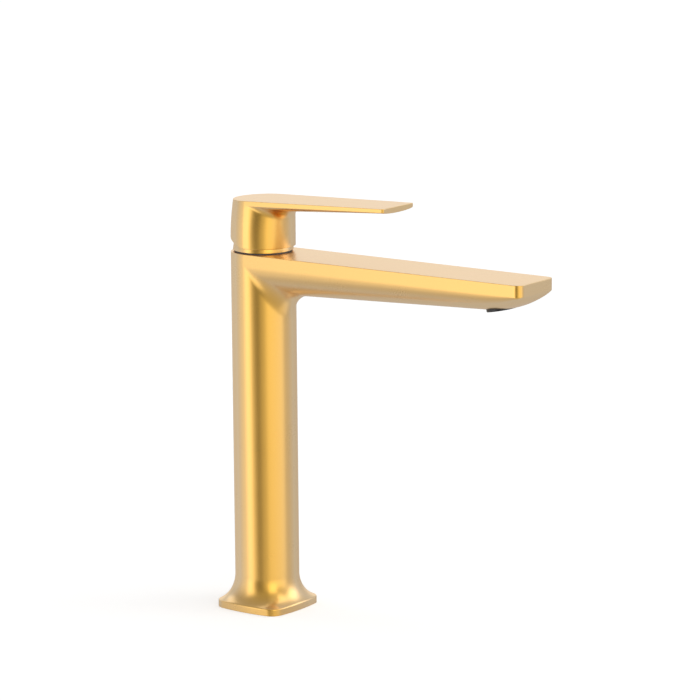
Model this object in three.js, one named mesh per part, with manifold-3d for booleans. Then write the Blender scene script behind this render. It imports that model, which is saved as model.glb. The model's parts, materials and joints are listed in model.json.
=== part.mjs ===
// Single-lever basin mixer: tall round column on a flared square base, long flat spout and paddle lever.
// Millimetres, +Z up, +X along the spout. The origin is the centre of the base's underside.
import * as THREE from "three";
import { mergeVertices } from "three/addons/utils/BufferGeometryUtils.js";
import Module from "manifold-3d";

const wasm = await Module();
wasm.setup();

// Driving sizes of the body
const body_height = 258;
const column_radius = 23;
const plate_half_side = 26.6;
const plate_bulge = 2.6;
const plate_corner_radius = 8;
const plate_edge_height = 5.5;
const flare_height = 23.85;
const chamber_radius = 19;
const hollow_radius = 17;

// Driving sizes of the spout
const spout_reach = 231;
const spout_tip_half_width = 21.2;
const spout_band = 8;
const spout_root_depth = 30.4;
const spout_tip_depth = 20.8;
const spout_end_run = 38;
const spout_corner_radius = 4.6;
const spout_blend_radius = 16.5;
const spout_wall = 1.7;
const spout_chamber_wall = 5.5;
const spout_tip_wall = 8;

// Driving sizes of the handle: heights are above the body's flat top, where the lever's pivot lies
const handle_height = 37.7;
const handle_top_radius = 20.8;
const handle_lean_start = 8;
const handle_lean_limit = 0.8;
const handle_rim_height = 4;
const handle_chamfer_inset = 0.4;
const handle_chamfer_height = 0.4;
const handle_cut_start = -2.5;
const handle_cut_angle = THREE.MathUtils.degToRad(20.3);
const lever_reach = 117.3;
const lever_tip_half_width = 18.2;
const lever_tip_rise = 3.8;
const lever_root_depth = 8.9;
const lever_tip_depth = 4.2;
const lever_root_band = 3.3;
const lever_tip_band = 2.5;
const lever_corner_radius = 1.5;
const lever_blend_radius = 5.5;
const handle_wall = 3.6;
const hub_hollow_radius = 15.4;

// Driving sizes of the dome under the hub and the seal round its foot
const dome_radius = 21.5;
const dome_wall = 1.3;
const dome_foot_radius = 20;
const dome_foot_height = 1.7;
const dome_mouth_radius = 15.2;
const dome_thread_height = 4.5;
const dome_seal_width = 0.8;

// Driving sizes of the cartridge, stacked up from the valve block's seat
const seat_depth = 34;
const cartridge_radius = 17.5;
const cartridge_wall = 1.8;
const cartridge_base_height = 4.5;
const disc_radius = 15.3;
const fixed_disc_height = 4;
const moving_disc_radius = 12.6;
const moving_disc_height = 3.9;
const disc_film = 0.1;
const disc_stroke = 4.1;
const port_radius = 3.2;
const port_spacing = 9;
const mixing_recess_depth = 2;
const mixing_recess_edge_gap = 0.4;
const carrier_plate_height = 4;
const carrier_boss_height = 6.2;
const carrier_boss_length = 15;
const rotor_radius = 11;
const rotor_flange_radius = 14.8;
const rotor_flange_height = 2.5;
const rotor_lug_thickness = 1.5;
const rotor_lug_length = 10;
const rotor_rise = 4;
const rotor_slot_length = 16;
const shoulder_height = 3.2;
const neck_radius = 13.5;
const neck_rise = 3;
const window_height = 6;
const window_width = 12;
const window_rise = 12;
const peg_radius = 1.8;
const peg_length = 2.5;
const peg_offset = 12.5;
const peg_side = 5;

// Driving sizes of the stem and its pin
const stem_width = 8;
const stem_rise = 26.5;
const stem_drop = 3.5;
const stem_rod_radius = 2.6;
const ball_radius = 3.4;
const ball_drop = 13.5;
const pin_radius = 1.5;
const pin_length = 20;

// Driving sizes of the nut, the screw and the plug
const nut_radius = 18.7;
const nut_rise = 4;
const nut_hex_radius = 16.6;
const nut_hex_depth = 5;
const screw_radius = 2.5;
const screw_length = 10;
const screw_rise = 23.5;
const screw_key_radius = 1.4;
const screw_key_depth = 3;
const plug_radius = 3.2;
const plug_length = 2.8;
const plug_sink = 0.2;
const boss_radius = 8;
const boss_start = 8;

// Driving sizes of the valve block and the seals round it
const block_height = 28;
const block_spigot_height = 2;
const inlet_radius = 5;
const inlet_depth = 14;
const passage_radius = 3.5;
const seal_section = 1.6;
const seal_pitch = 4;
const inlet_seal_radius = 5.2;
const inlet_seal_width = 1.2;
const inlet_seal_height = 1;

// Driving sizes of the mounting plate and the base seal
const mounting_height = 12;
const hose_hole_radius = 5.6;
const hose_spacing = 10;
const stud_hole_radius = 3.4;
const stud_spacing = 11.5;
const base_seal_inner = 21.8;
const base_seal_outer = 24.2;
const base_seal_height = 1.4;

// Driving sizes of the outlet and the aerator; heights in the aerator run up from the spout's underside
const aerator_tip_distance = 29;
const aerator_tilt = THREE.MathUtils.degToRad(11);
const aerator_radius = 10.1;
const aerator_thread_radius = 9.4;
const aerator_bore = 8.2;
const aerator_lip_bore = 7.2;
const aerator_lip_height = 0.8;
const aerator_drop = 0.4;
const aerator_flange_rise = 2.4;
const aerator_rise = 8;
const insert_height = 5;
const insert_hole_radius = 1.1;
const screen_height = 0.6;
const screen_hole_radius = 1.1;
const gasket_height = 1.2;
const gasket_bore = 7.2;
const socket_radius = 11.2;
const socket_floor_gap = 4.8;
const socket_chamber_radius = 6.5;
const socket_roof = 2.4;
const tube_radius = 4;
const tube_wall = 1;
const tube_root_drop = 14.5;
const tube_tip_drop = 8.3;
const tube_seal_section = 0.8;
const tube_insertion = 3.4;

// Clearances between fixed pieces and between moving ones, and the overrun of every cut
const fit_gap = 0.3;
const running_gap = 0.4;
const cut_overrun = 5;
const weld_distance = 0.001;

// Counts of steps and repeats
const round_segments = 36;
const small_segments = 16;
const belly_half_steps = 12;
const rear_steps = 22;
const blend_steps = 5;
const flare_steps = 5;
const straight_steps = 3;
const end_steps = 12;
const corner_steps = 4;
const hub_wall_steps = 4;
const cavity_steps = 7;
const hex_sides = 6;
const rim_rows = 3;
const dome_steps = 5;
const seal_segments = 24;
const seal_sides = 6;
const hole_sides = 6;
const ring_holes = 6;
const hole_rings = 2;
const bisection_rounds = 40;

// Heights and places worked out from the sizes above
const half_turn = Math.PI;
const quarter_turn = half_turn / 2;
const full_turn = 2 * half_turn;
const pivot_z = body_height;
const seat_z = pivot_z - seat_depth;
const ledge_z = seat_z - block_height;
const spout_cavity_start = chamber_radius + spout_chamber_wall;
const spout_cavity_end = spout_reach - spout_tip_wall;
const aerator_reach = spout_reach - aerator_tip_distance;
const base_top_z = seat_z + cartridge_base_height;
const fixed_top_z = base_top_z + fixed_disc_height;
const moving_bottom_z = fixed_top_z + disc_film;
const carrier_bottom_z = moving_bottom_z + moving_disc_height;
const carrier_plate_top_z = carrier_bottom_z + carrier_plate_height;
const carrier_top_z = carrier_plate_top_z + carrier_boss_height;
const flange_bottom_z = carrier_top_z + running_gap;
const flange_top_z = flange_bottom_z + rotor_flange_height;
const shoulder_bottom_z = flange_top_z + fit_gap;
const shoulder_top_z = shoulder_bottom_z + shoulder_height;
const housing_seal_z = (shoulder_top_z + shoulder_bottom_z) / 2;
const block_seal_z = seat_z - seal_pitch - seal_section / 2;
const housing_bore = cartridge_radius - cartridge_wall;
const port_centres = [port_spacing, -port_spacing];
const peg_places = [[peg_offset, peg_side], [-peg_offset, -peg_side]];

// Finishes as they look on the real thing
const brushed_gold = { color: 0xd8a047, roughness: 0.36, metalness: 1 };
const cast_brass = { color: 0xb58f4a, roughness: 0.5, metalness: 1 };
const black_plastic = { color: 0x2b282b, roughness: 0.55, metalness: 0 };
const white_plastic = { color: 0xe6e4de, roughness: 0.5, metalness: 0 };
const grey_plastic = { color: 0x8d9196, roughness: 0.5, metalness: 0 };
const blue_plastic = { color: 0x33608f, roughness: 0.5, metalness: 0 };
const ceramic = { color: 0xf1eee6, roughness: 0.25, metalness: 0 };
const black_rubber = { color: 0x1d1d1f, roughness: 0.8, metalness: 0 };
const steel = { color: 0xb9bcc0, roughness: 0.35, metalness: 1 };

// Turns a closed geometry into a solid that can be cut and joined; collapsed triangles are left out
function solidOf(geometry) {
  const bare = geometry.clone();
  bare.deleteAttribute("normal");
  bare.deleteAttribute("uv");
  const welded = mergeVertices(bare, weld_distance);
  const corners = welded.index.array;
  const kept = [];
  for (let start = 0; start < corners.length; start += 3) {
    const [a, b, c] = corners.slice(start, start + 3);
    if (a !== b && b !== c && c !== a) kept.push(a, b, c);
  }
  const vertProperties = new Float32Array(welded.attributes.position.array);
  return new wasm.Manifold(new wasm.Mesh({ numProp: 3, vertProperties, triVerts: new Uint32Array(kept) }));
}

function geometryOf(solid) {
  const { vertProperties, triVerts } = solid.getMesh();
  const geometry = new THREE.BufferGeometry();
  geometry.setAttribute("position", new THREE.BufferAttribute(new Float32Array(vertProperties), 3));
  geometry.setIndex(new THREE.BufferAttribute(new Uint32Array(triVerts), 1));
  geometry.computeVertexNormals();
  return geometry;
}

function joined(...solids) {
  return solids.reduce((sum, solid) => sum.add(solid));
}

function cut(solid, ...tools) {
  return tools.reduce((rest, tool) => rest.subtract(tool), solid);
}

// Solid of revolution about +Z from [radius, z] pairs that start and end on the axis, or close on themselves
function turned(profile, segments = round_segments) {
  const points = profile.map(([radius, z]) => new THREE.Vector2(radius, z));
  return new THREE.LatheGeometry(points, segments).rotateX(quarter_turn);
}

function discShape(radius, bottom, top, segments = round_segments) {
  return turned([[0, bottom], [radius, bottom], [radius, top], [0, top]], segments);
}

function disc(radius, bottom, top, segments) {
  return solidOf(discShape(radius, bottom, top, segments));
}

function discAt(x, y, radius, bottom, top, segments = small_segments) {
  return solidOf(discShape(radius, bottom, top, segments).translate(x, y, 0));
}

function ring(outer, inner, bottom, top, segments) {
  const profile = [[inner, bottom], [outer, bottom], [outer, top], [inner, top], [inner, bottom]];
  return solidOf(turned(profile, segments));
}

// Ring of round section about +Z, as an O-ring lies in its groove
function sealRing(centre_radius, section_radius, z) {
  const profile = [];
  for (let side = 0; side <= seal_sides; side += 1) {
    const angle = (side % seal_sides) / seal_sides * full_turn;
    profile.push([centre_radius + section_radius * Math.cos(angle), z + section_radius * Math.sin(angle)]);
  }
  return turned(profile, seal_segments);
}

function block(from, to) {
  const size = to.map((value, axis) => value - from[axis]);
  const centre = to.map((value, axis) => (value + from[axis]) / 2);
  return solidOf(new THREE.BoxGeometry(...size).translate(...centre));
}

// Moves a shape made about +Z so that its axis runs from one point towards another, with z = 0 at the first
function aimed(geometry, from, to) {
  const direction = new THREE.Vector3().subVectors(to, from).normalize();
  const turn = new THREE.Quaternion().setFromUnitVectors(new THREE.Vector3(0, 0, 1), direction);
  return geometry.applyQuaternion(turn).translate(from.x, from.y, from.z);
}

function rodBetween(radius, from, to, segments = small_segments) {
  return solidOf(aimed(discShape(radius, 0, from.distanceTo(to), segments), from, to));
}

// Surfaces are patches: rows of points, with the outside on the right hand of row by column
function patchCorners(rows) {
  const corners = [];
  for (let row = 0; row + 1 < rows.length; row += 1) {
    for (let column = 0; column + 1 < rows[row].length; column += 1) {
      const low = rows[row][column];
      const low_next = rows[row][column + 1];
      const high_next = rows[row + 1][column + 1];
      const high = rows[row + 1][column];
      corners.push(low, low_next, high_next, low, high_next, high);
    }
  }
  return corners;
}

// Fills a loop of points that shows as a simple outline when it is looked at along one axis
function capCorners(loop, flatten) {
  const outline = loop.map(flatten);
  return THREE.ShapeUtils.triangulateShape(outline, []).flat().map((place) => loop[place]);
}

function shellSolid(corners) {
  return solidOf(new THREE.BufferGeometry().setFromPoints(corners));
}

function closedLoop(points) {
  return [...points, points[0]];
}

// Half width of an outline whose end corners are rounded in plan
function roundedHalfWidth(half_width, x, reach, corner_radius) {
  const into_corner = Math.min(Math.max(x - (reach - corner_radius), 0), corner_radius);
  return half_width - corner_radius + Math.sqrt(corner_radius ** 2 - into_corner ** 2);
}

function along(x, reach, root_value, tip_value) {
  return root_value + (tip_value - root_value) * x / reach;
}

// The spout: flat top, upright band at each side, half-elliptic belly that rises to the band at the tip
const spout = {
  reach: spout_reach,
  end_run: spout_end_run,
  end_steps,
  top: () => body_height,
  band: () => spout_band,
  halfWidth: (x) => roundedHalfWidth(
    along(x, spout_reach, column_radius, spout_tip_half_width), x, spout_reach, spout_corner_radius),
  topHalfWidth: (x) => spout.halfWidth(x),
  belly: (x) => {
    const into_end = Math.max(x - (spout_reach - spout_end_run), 0) / spout_end_run;
    const depth = along(x, spout_reach, spout_root_depth, spout_tip_depth) - spout_band;
    return depth * Math.sqrt(Math.max(1 - into_end ** 2, 0));
  },
};

// The hub's wall leans in towards its top, fully at the rear and sides and not at all near the front
function hubRadius(azimuth, z) {
  const lean_height = handle_height - handle_lean_start;
  const risen = Math.max(z - pivot_z - handle_lean_start, 0) / lean_height;
  const ahead = Math.min(Math.max(Math.cos(azimuth) / handle_lean_limit, 0), 1);
  return column_radius - (column_radius - handle_top_radius) * risen ** 2 * (1 - ahead ** 2);
}

// The lever: like the spout, thinner, with its top rising gently to the tip
const lever = {
  reach: lever_reach,
  end_run: lever_corner_radius,
  end_steps: corner_steps,
  top: (x) => pivot_z + handle_height + lever_tip_rise * x / lever_reach,
  band: (x) => along(x, lever_reach, lever_root_band, lever_tip_band),
  halfWidth: (x) => {
    const root = hubRadius(quarter_turn, lever.top(0) - lever_root_band);
    const straight = along(x, lever_reach, root, lever_tip_half_width);
    return roundedHalfWidth(straight, x, lever_reach, lever_corner_radius);
  },
  topHalfWidth: (x) => {
    const root = hubRadius(quarter_turn, lever.top(0));
    const straight = along(x, lever_reach, root, lever_tip_half_width);
    return roundedHalfWidth(straight, x, lever_reach, lever_corner_radius);
  },
  belly: (x) => along(x, lever_reach, lever_root_depth - lever_root_band, lever_tip_depth - lever_tip_band),
};

// A point of an arm's belly; the side angle runs from -90 degrees at the near side to 90 at the far side
function bellyPoint(arm, x, side, inset = 0) {
  const drop = arm.band(x) + (arm.belly(x) - inset) * Math.cos(side);
  return new THREE.Vector3(x, (arm.halfWidth(x) - inset) * Math.sin(side), arm.top(x) - drop);
}

function bellyNormal(arm, x, side) {
  return new THREE.Vector3(0, Math.sin(side) / arm.halfWidth(x), -Math.cos(side) / arm.belly(x)).normalize();
}

// Where a ball of the blend's radius rolls between the round wall and the belly at one side angle
function blendAt(arm, wallRadius, blend_radius, side) {
  const centreAt = (x) => bellyPoint(arm, x, side).addScaledVector(bellyNormal(arm, x, side), blend_radius);
  const outside = (x) => {
    const centre = centreAt(x);
    const azimuth = Math.atan2(centre.y, centre.x);
    return Math.hypot(centre.x, centre.y) - blend_radius - wallRadius(azimuth, centre.z);
  };
  let near = 0;
  let far = 2 * (column_radius + blend_radius);
  const at_side = Math.abs(side) === quarter_turn;
  for (let round = 0; round < bisection_rounds && !at_side; round += 1) {
    const middle = (near + far) / 2;
    if (outside(middle) < 0) near = middle;
    else far = middle;
  }
  const centre = centreAt(near);
  const azimuth = at_side ? side : Math.atan2(centre.y, centre.x);
  return { side, x: near, centre, azimuth, wall_z: centre.z };
}

// The ball's path over one blend section, from the wall to the belly
function blendArc(arm, wallRadius, blend_radius, blend) {
  const start = wallPoint(wallRadius, blend.azimuth, blend.wall_z);
  const end = bellyPoint(arm, blend.x, blend.side);
  const from = new THREE.Vector3(-Math.cos(blend.azimuth), -Math.sin(blend.azimuth), 0);
  const to = bellyNormal(arm, blend.x, blend.side).negate();
  const angle = from.angleTo(to);
  const arc = [start];
  for (let step = 1; step < blend_steps; step += 1) {
    const share = step / blend_steps;
    const kept = angle > 0 ? Math.sin(angle - share * angle) : 1;
    const direction = from.clone().multiplyScalar(kept).addScaledVector(to, Math.sin(share * angle));
    arc.push(blend.centre.clone().addScaledVector(direction.normalize(), blend_radius));
  }
  if (Math.abs(blend.side) === quarter_turn) return arc.map(() => end).concat([end]);
  return arc.concat([end]);
}

function wallPoint(wallRadius, azimuth, z) {
  const radius = wallRadius(azimuth, z);
  return new THREE.Vector3(radius * Math.cos(azimuth), radius * Math.sin(azimuth), z);
}

// The belly's stations from a blend's end to the tip
function armStations(arm, start) {
  const end_start = arm.reach - arm.end_run;
  const stations = [];
  for (let step = 0; step < straight_steps; step += 1) {
    stations.push(start + (end_start - start) * step / straight_steps);
  }
  for (let step = 0; step <= arm.end_steps; step += 1) {
    stations.push(end_start + arm.end_run * Math.sin(quarter_turn * step / arm.end_steps));
  }
  return stations;
}

function evenSteps(from, to, steps) {
  return Array.from({ length: steps + 1 }, (_, step) => from + (to - from) * step / steps);
}

// A round tower whose top grows into an arm along +X: one closed surface with a rolled blend between them.
// lowerPoint(azimuth, step) gives the wall's lower rows, and the top is flat.
function towerWithArm({ arm, wallRadius, blend_radius, lower_rows, lowerPoint, wall_steps }) {
  const sides = evenSteps(-quarter_turn, quarter_turn, 2 * belly_half_steps);
  const blends = sides.map((side) => blendAt(arm, wallRadius, blend_radius, side));
  const rear_azimuths = evenSteps(quarter_turn, quarter_turn + half_turn, rear_steps);
  const rearX = (azimuth, z) => wallRadius(azimuth, z) * Math.cos(azimuth);
  const rear_tops = rear_azimuths.map((azimuth) => {
    const top = arm.top(rearX(azimuth, arm.top(0)));
    return wallPoint(wallRadius, azimuth, top);
  });
  const rear_bands = rear_azimuths.map((azimuth, place) => {
    return wallPoint(wallRadius, azimuth, rear_tops[place].z - arm.band(0));
  });
  rear_tops[0] = new THREE.Vector3(0, arm.topHalfWidth(0), arm.top(0));
  rear_tops[rear_steps] = new THREE.Vector3(0, -arm.topHalfWidth(0), arm.top(0));
  rear_bands[0] = bellyPoint(arm, 0, quarter_turn);
  rear_bands[rear_steps] = bellyPoint(arm, 0, -quarter_turn);
  const arcs = blends.map((blend) => blendArc(arm, wallRadius, blend_radius, blend));
  const wall_tops = [...arcs.map((arc) => arc[0]), ...rear_bands.slice(1, -1)];
  const azimuths = [...blends.map((blend) => blend.azimuth), ...rear_azimuths.slice(1, -1)];
  const wall_rows = [];
  for (let row = 0; row < lower_rows; row += 1) {
    wall_rows.push(azimuths.map((azimuth) => lowerPoint(azimuth, row)));
  }
  for (let step = 1; step < wall_steps; step += 1) {
    wall_rows.push(azimuths.map((azimuth, place) => {
      const start_z = wall_rows[lower_rows - 1][place].z;
      return wallPoint(wallRadius, azimuth, start_z + (wall_tops[place].z - start_z) * step / wall_steps);
    }));
  }
  wall_rows.push(wall_tops);
  const blend_rows = evenSteps(0, blend_steps, blend_steps).map((step) => arcs.map((arc) => arc[step]));
  const station_lists = blends.map((blend) => armStations(arm, blend.x));
  const belly_rows = station_lists[0].map((_, station) => {
    return blends.map((blend, place) => bellyPoint(arm, station_lists[place][station], blend.side));
  });
  const tip_row = belly_rows.at(-1);
  const near_edge = belly_rows.map((row) => row[0]);
  const far_edge = belly_rows.map((row) => row.at(-1)).reverse();
  const topOf = (point) => {
    const half_width = Math.abs(point.y);
    const widened = half_width > 0 ? arm.topHalfWidth(point.x) / arm.halfWidth(point.x) : 1;
    return new THREE.Vector3(point.x, point.y * widened, arm.top(point.x));
  };
  const arm_edge = [...near_edge.slice(0, -1), ...tip_row, ...far_edge.slice(1, -1)];
  const skirt = [...arm_edge, ...rear_bands.slice(0, -1)];
  const top_loop = [...arm_edge.map(topOf), ...rear_tops.slice(0, -1)];
  const bottom_loop = wall_rows[0];
  return shellSolid([
    ...patchCorners(wall_rows.map(closedLoop)),
    ...patchCorners(blend_rows),
    ...patchCorners(belly_rows),
    ...patchCorners([closedLoop(skirt), closedLoop(top_loop)]),
    ...capCorners(top_loop, (point) => new THREE.Vector2(point.x, point.y)),
    ...capCorners([...bottom_loop].reverse(), (point) => new THREE.Vector2(-point.x, point.y)),
  ]);
}

// Inside of an arm, a wall's thickness in from its outside
function armCavity(arm, wall, from, to) {
  const sides = evenSteps(-quarter_turn, quarter_turn, 2 * belly_half_steps);
  const end_start = arm.reach - arm.end_run;
  const stations = [from, ...evenSteps(end_start, to, cavity_steps)];
  const rows = stations.map((x) => {
    const half_width = arm.halfWidth(x) - wall;
    const roof = arm.top(x) - wall;
    const floor = sides.map((side) => bellyPoint(arm, x, side, wall));
    return [new THREE.Vector3(x, -half_width, roof), ...floor, new THREE.Vector3(x, half_width, roof)];
  });
  const flatten = (point) => new THREE.Vector2(point.y, point.z);
  const mirrored = (point) => new THREE.Vector2(-point.y, point.z);
  return shellSolid([
    ...patchCorners(rows.map(closedLoop)),
    ...capCorners(rows.at(-1), flatten),
    ...capCorners([...rows[0]].reverse(), mirrored),
  ]);
}

// Distance from the axis to the base's outline: four bulging sides with rounded corners
function plateRadius(azimuth) {
  const side_radius = (plate_half_side ** 2 + plate_bulge ** 2) / (2 * plate_bulge);
  const side_centre = plate_half_side + plate_bulge - side_radius;
  const reach = side_radius - plate_corner_radius;
  const corner_centre = (side_centre + Math.sqrt(2 * reach ** 2 - side_centre ** 2)) / 2;
  const turns = Math.round(azimuth / quarter_turn);
  const off_side = Math.abs(azimuth - turns * quarter_turn);
  const tangent = Math.atan2(corner_centre, corner_centre - side_centre);
  const joint_x = side_centre + side_radius * Math.cos(tangent);
  const joint = Math.atan2(side_radius * Math.sin(tangent), joint_x);
  if (off_side < joint) {
    const across = side_centre * Math.sin(off_side);
    return side_centre * Math.cos(off_side) + Math.sqrt(side_radius ** 2 - across ** 2);
  }
  const along_ray = corner_centre * (Math.cos(off_side) + Math.sin(off_side));
  const beside_ray = corner_centre * (Math.cos(off_side) - Math.sin(off_side));
  return along_ray + Math.sqrt(plate_corner_radius ** 2 - beside_ray ** 2);
}

// The base's edge, then a hollow arc at each azimuth that ends upright on the column
function basePoint(azimuth, row) {
  const outline = plateRadius(azimuth);
  if (row === 0) return new THREE.Vector3(outline * Math.cos(azimuth), outline * Math.sin(azimuth), 0);
  const spread = outline - column_radius;
  const height = flare_height - plate_edge_height;
  const arc_radius = (spread ** 2 + height ** 2) / (2 * spread);
  const sweep = Math.asin(height / arc_radius) * (1 - (row - 1) / flare_steps);
  const radius = column_radius + arc_radius * (1 - Math.cos(sweep));
  const z = flare_height - arc_radius * Math.sin(sweep);
  return new THREE.Vector3(radius * Math.cos(azimuth), radius * Math.sin(azimuth), z);
}

// The spout's mouth, the way the water leaves it, and points on its tilted axis
const mouth = new THREE.Vector3(aerator_reach, 0, bellyPoint(spout, aerator_reach, 0).z);
const jet = new THREE.Vector3(Math.sin(aerator_tilt), 0, -Math.cos(aerator_tilt));
const upFromMouth = (height) => mouth.clone().addScaledVector(jet, -height);

function tiltedDisc(radius, bottom, top, segments) {
  return rodBetween(radius, upFromMouth(bottom), upFromMouth(top), segments);
}

// The outlet tube runs straight from the chamber's wall to the socket in the tip
const socket_bottom_z = mouth.z + socket_floor_gap;
const socket_top_z = body_height - spout_wall - fit_gap;
const tube_root = new THREE.Vector3(spout_cavity_start - tube_insertion, 0, body_height - tube_root_drop);
const tube_tip = new THREE.Vector3(
  aerator_reach - socket_radius + tube_insertion, 0, body_height - tube_tip_drop);
const tube_direction = new THREE.Vector3().subVectors(tube_tip, tube_root).normalize();
const alongTube = (end, distance) => end.clone().addScaledVector(tube_direction, distance);
const tube_bore = tube_radius - tube_wall;
const tube_seal_radius = tube_radius + fit_gap + tube_seal_section / 2;
const tube_seal_inset = tube_insertion / 2;

// Room for the tube and its seal in the wall that holds one of its ends; inward points along the tube
function tubeSeat(end, inward) {
  const bore = tube_radius + fit_gap;
  const groove = tube_seal_radius + tube_seal_section / 2 + fit_gap;
  const half_groove = tube_seal_section / 2 + fit_gap;
  const seal_at = inward * tube_seal_inset;
  const seat_length = tube_insertion + cut_overrun;
  return joined(
    rodBetween(bore, alongTube(end, -inward * fit_gap), alongTube(end, inward * seat_length)),
    rodBetween(groove, alongTube(end, seal_at - half_groove), alongTube(end, seal_at + half_groove)),
  );
}

function makeTubeSeal(end, inward) {
  const seal = sealRing(tube_seal_radius, tube_seal_section / 2, 0);
  const at = alongTube(end, inward * tube_seal_inset);
  return solidOf(aimed(seal, at, alongTube(at, tube_radius)));
}

function makeBody() {
  const outside = towerWithArm({
    arm: spout,
    wallRadius: () => column_radius,
    blend_radius: spout_blend_radius,
    lower_rows: flare_steps + 2,
    lowerPoint: basePoint,
    wall_steps: 1,
  });
  return cut(
    outside,
    disc(chamber_radius, ledge_z, body_height + cut_overrun),
    disc(hollow_radius, -cut_overrun, ledge_z + cut_overrun),
    ring(base_seal_outer + fit_gap, base_seal_inner - fit_gap, -cut_overrun, base_seal_height + fit_gap),
    armCavity(spout, spout_wall, spout_cavity_start, spout_cavity_end),
    tubeSeat(tube_root, 1),
    rodBetween(tube_bore, alongTube(tube_root, -tube_insertion), alongTube(tube_root, tube_insertion)),
    tiltedDisc(aerator_radius + fit_gap, -cut_overrun, socket_floor_gap, round_segments),
  );
}

function makeMountingPlate() {
  const radius = hollow_radius - fit_gap;
  const holes = port_centres.map((centre) => {
    const y = Math.sign(centre) * hose_spacing;
    return discAt(0, y, hose_hole_radius, -cut_overrun, mounting_height + cut_overrun, round_segments);
  });
  const studs = [-stud_spacing, stud_spacing].map((x) => {
    return discAt(x, 0, stud_hole_radius, -cut_overrun, mounting_height + cut_overrun);
  });
  return cut(disc(radius, 0, mounting_height), ...holes, ...studs);
}

// Brass block on the column's ledge, with a spigot below it, two inlet threads and two passages to the ports
function makeValveBlock() {
  const radius = chamber_radius - fit_gap;
  const underside = ledge_z - block_spigot_height;
  const inlet_top = underside + inlet_depth;
  const inlets = port_centres.map((y) => discAt(0, y, inlet_radius, underside - cut_overrun, inlet_top));
  const passages = port_centres.map((y) => discAt(0, y, passage_radius, ledge_z, seat_z + cut_overrun));
  const peg_holes = peg_places.map(([x, y]) => {
    return discAt(x, y, peg_radius + fit_gap, seat_z - peg_length - fit_gap, seat_z + cut_overrun);
  });
  return cut(
    joined(disc(radius, ledge_z, seat_z), disc(hollow_radius - fit_gap, underside, ledge_z)),
    sealGroove(block_seal_z),
    ...inlets,
    ...passages,
    ...peg_holes,
  );
}

// O-ring that seals a round piece in the chamber, and the groove for it in that piece
function makeChamberSeal(middle_z) {
  return solidOf(sealRing(chamber_radius - (seal_section + fit_gap) / 2, seal_section / 2, middle_z));
}

function sealGroove(middle_z) {
  const half_height = seal_section / 2 + fit_gap;
  const floor_radius = chamber_radius - seal_section - fit_gap;
  return ring(chamber_radius + cut_overrun, floor_radius, middle_z - half_height, middle_z + half_height);
}

function makeCartridgeBase() {
  const pegs = peg_places.map(([x, y]) => discAt(x, y, peg_radius, seat_z - peg_length, base_top_z));
  const ports = port_centres.map((y) => {
    return discAt(0, y, port_radius, seat_z - cut_overrun, base_top_z + cut_overrun);
  });
  const grooves = port_centres.map((y) => {
    const radius = inlet_seal_radius + fit_gap;
    return discAt(0, y, radius, seat_z - cut_overrun, seat_z + inlet_seal_height + fit_gap, round_segments);
  });
  return cut(joined(disc(cartridge_radius, seat_z, base_top_z), ...pegs), ...ports, ...grooves);
}

function makeInletSeal(y) {
  const inner = inlet_seal_radius - inlet_seal_width;
  const outline = [[inner, 0], [inlet_seal_radius, 0], [inlet_seal_radius, inlet_seal_height]];
  const profile = [...outline, [inner, inlet_seal_height], [inner, 0]];
  return solidOf(turned(profile).translate(0, y, seat_z));
}

function makeFixedDisc() {
  const ports = port_centres.map((y) => {
    return discAt(0, y, port_radius, base_top_z - cut_overrun, fixed_top_z + cut_overrun);
  });
  return cut(disc(disc_radius, base_top_z, fixed_top_z), ...ports);
}

// The moving disc rests half a stroke to the rear, with its mixing recess just behind the ports
function makeMovingDisc() {
  const centre = -disc_stroke / 2;
  const recess_front = -port_radius - mixing_recess_edge_gap;
  const recess_rear = centre - moving_disc_radius - cut_overrun;
  const recess_side = port_spacing + port_radius;
  const plate = discAt(centre, 0, moving_disc_radius, moving_bottom_z, carrier_bottom_z, round_segments);
  const recess_top = moving_bottom_z + mixing_recess_depth;
  return cut(plate, block(
    [recess_rear, -recess_side, moving_bottom_z - cut_overrun], [recess_front, recess_side, recess_top]));
}

function makeDiscCarrier() {
  const centre = -disc_stroke / 2;
  const pocket_bottom = pivot_z - ball_drop - ball_radius - running_gap;
  const boss_side = rotor_radius - rotor_lug_thickness - fit_gap;
  const half_length = carrier_boss_length / 2;
  const plate_top = carrier_plate_top_z;
  const plate = discAt(centre, 0, moving_disc_radius, carrier_bottom_z, plate_top, round_segments);
  const boss = block([-half_length, -boss_side, plate_top], [half_length, boss_side, carrier_top_z]);
  const pocket = disc(ball_radius + running_gap, pocket_bottom, carrier_top_z + cut_overrun);
  return cut(joined(plate, boss), pocket);
}

function makeCartridgeHousing() {
  const window_z = base_top_z + window_rise;
  const half_window = window_width / 2;
  const shell = solidOf(turned([
    [housing_bore, base_top_z],
    [cartridge_radius, base_top_z],
    [cartridge_radius, shoulder_top_z],
    [neck_radius, shoulder_top_z],
    [neck_radius, pivot_z + neck_rise],
    [rotor_radius + fit_gap, pivot_z + neck_rise],
    [rotor_radius + fit_gap, shoulder_bottom_z],
    [housing_bore, shoulder_bottom_z],
    [housing_bore, base_top_z],
  ]));
  const reach = cartridge_radius + cut_overrun;
  const half_height = window_height / 2;
  const windows = block(
    [-reach, -half_window, window_z - half_height], [reach, half_window, window_z + half_height]);
  return cut(shell, windows, sealGroove(housing_seal_z));
}

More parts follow.
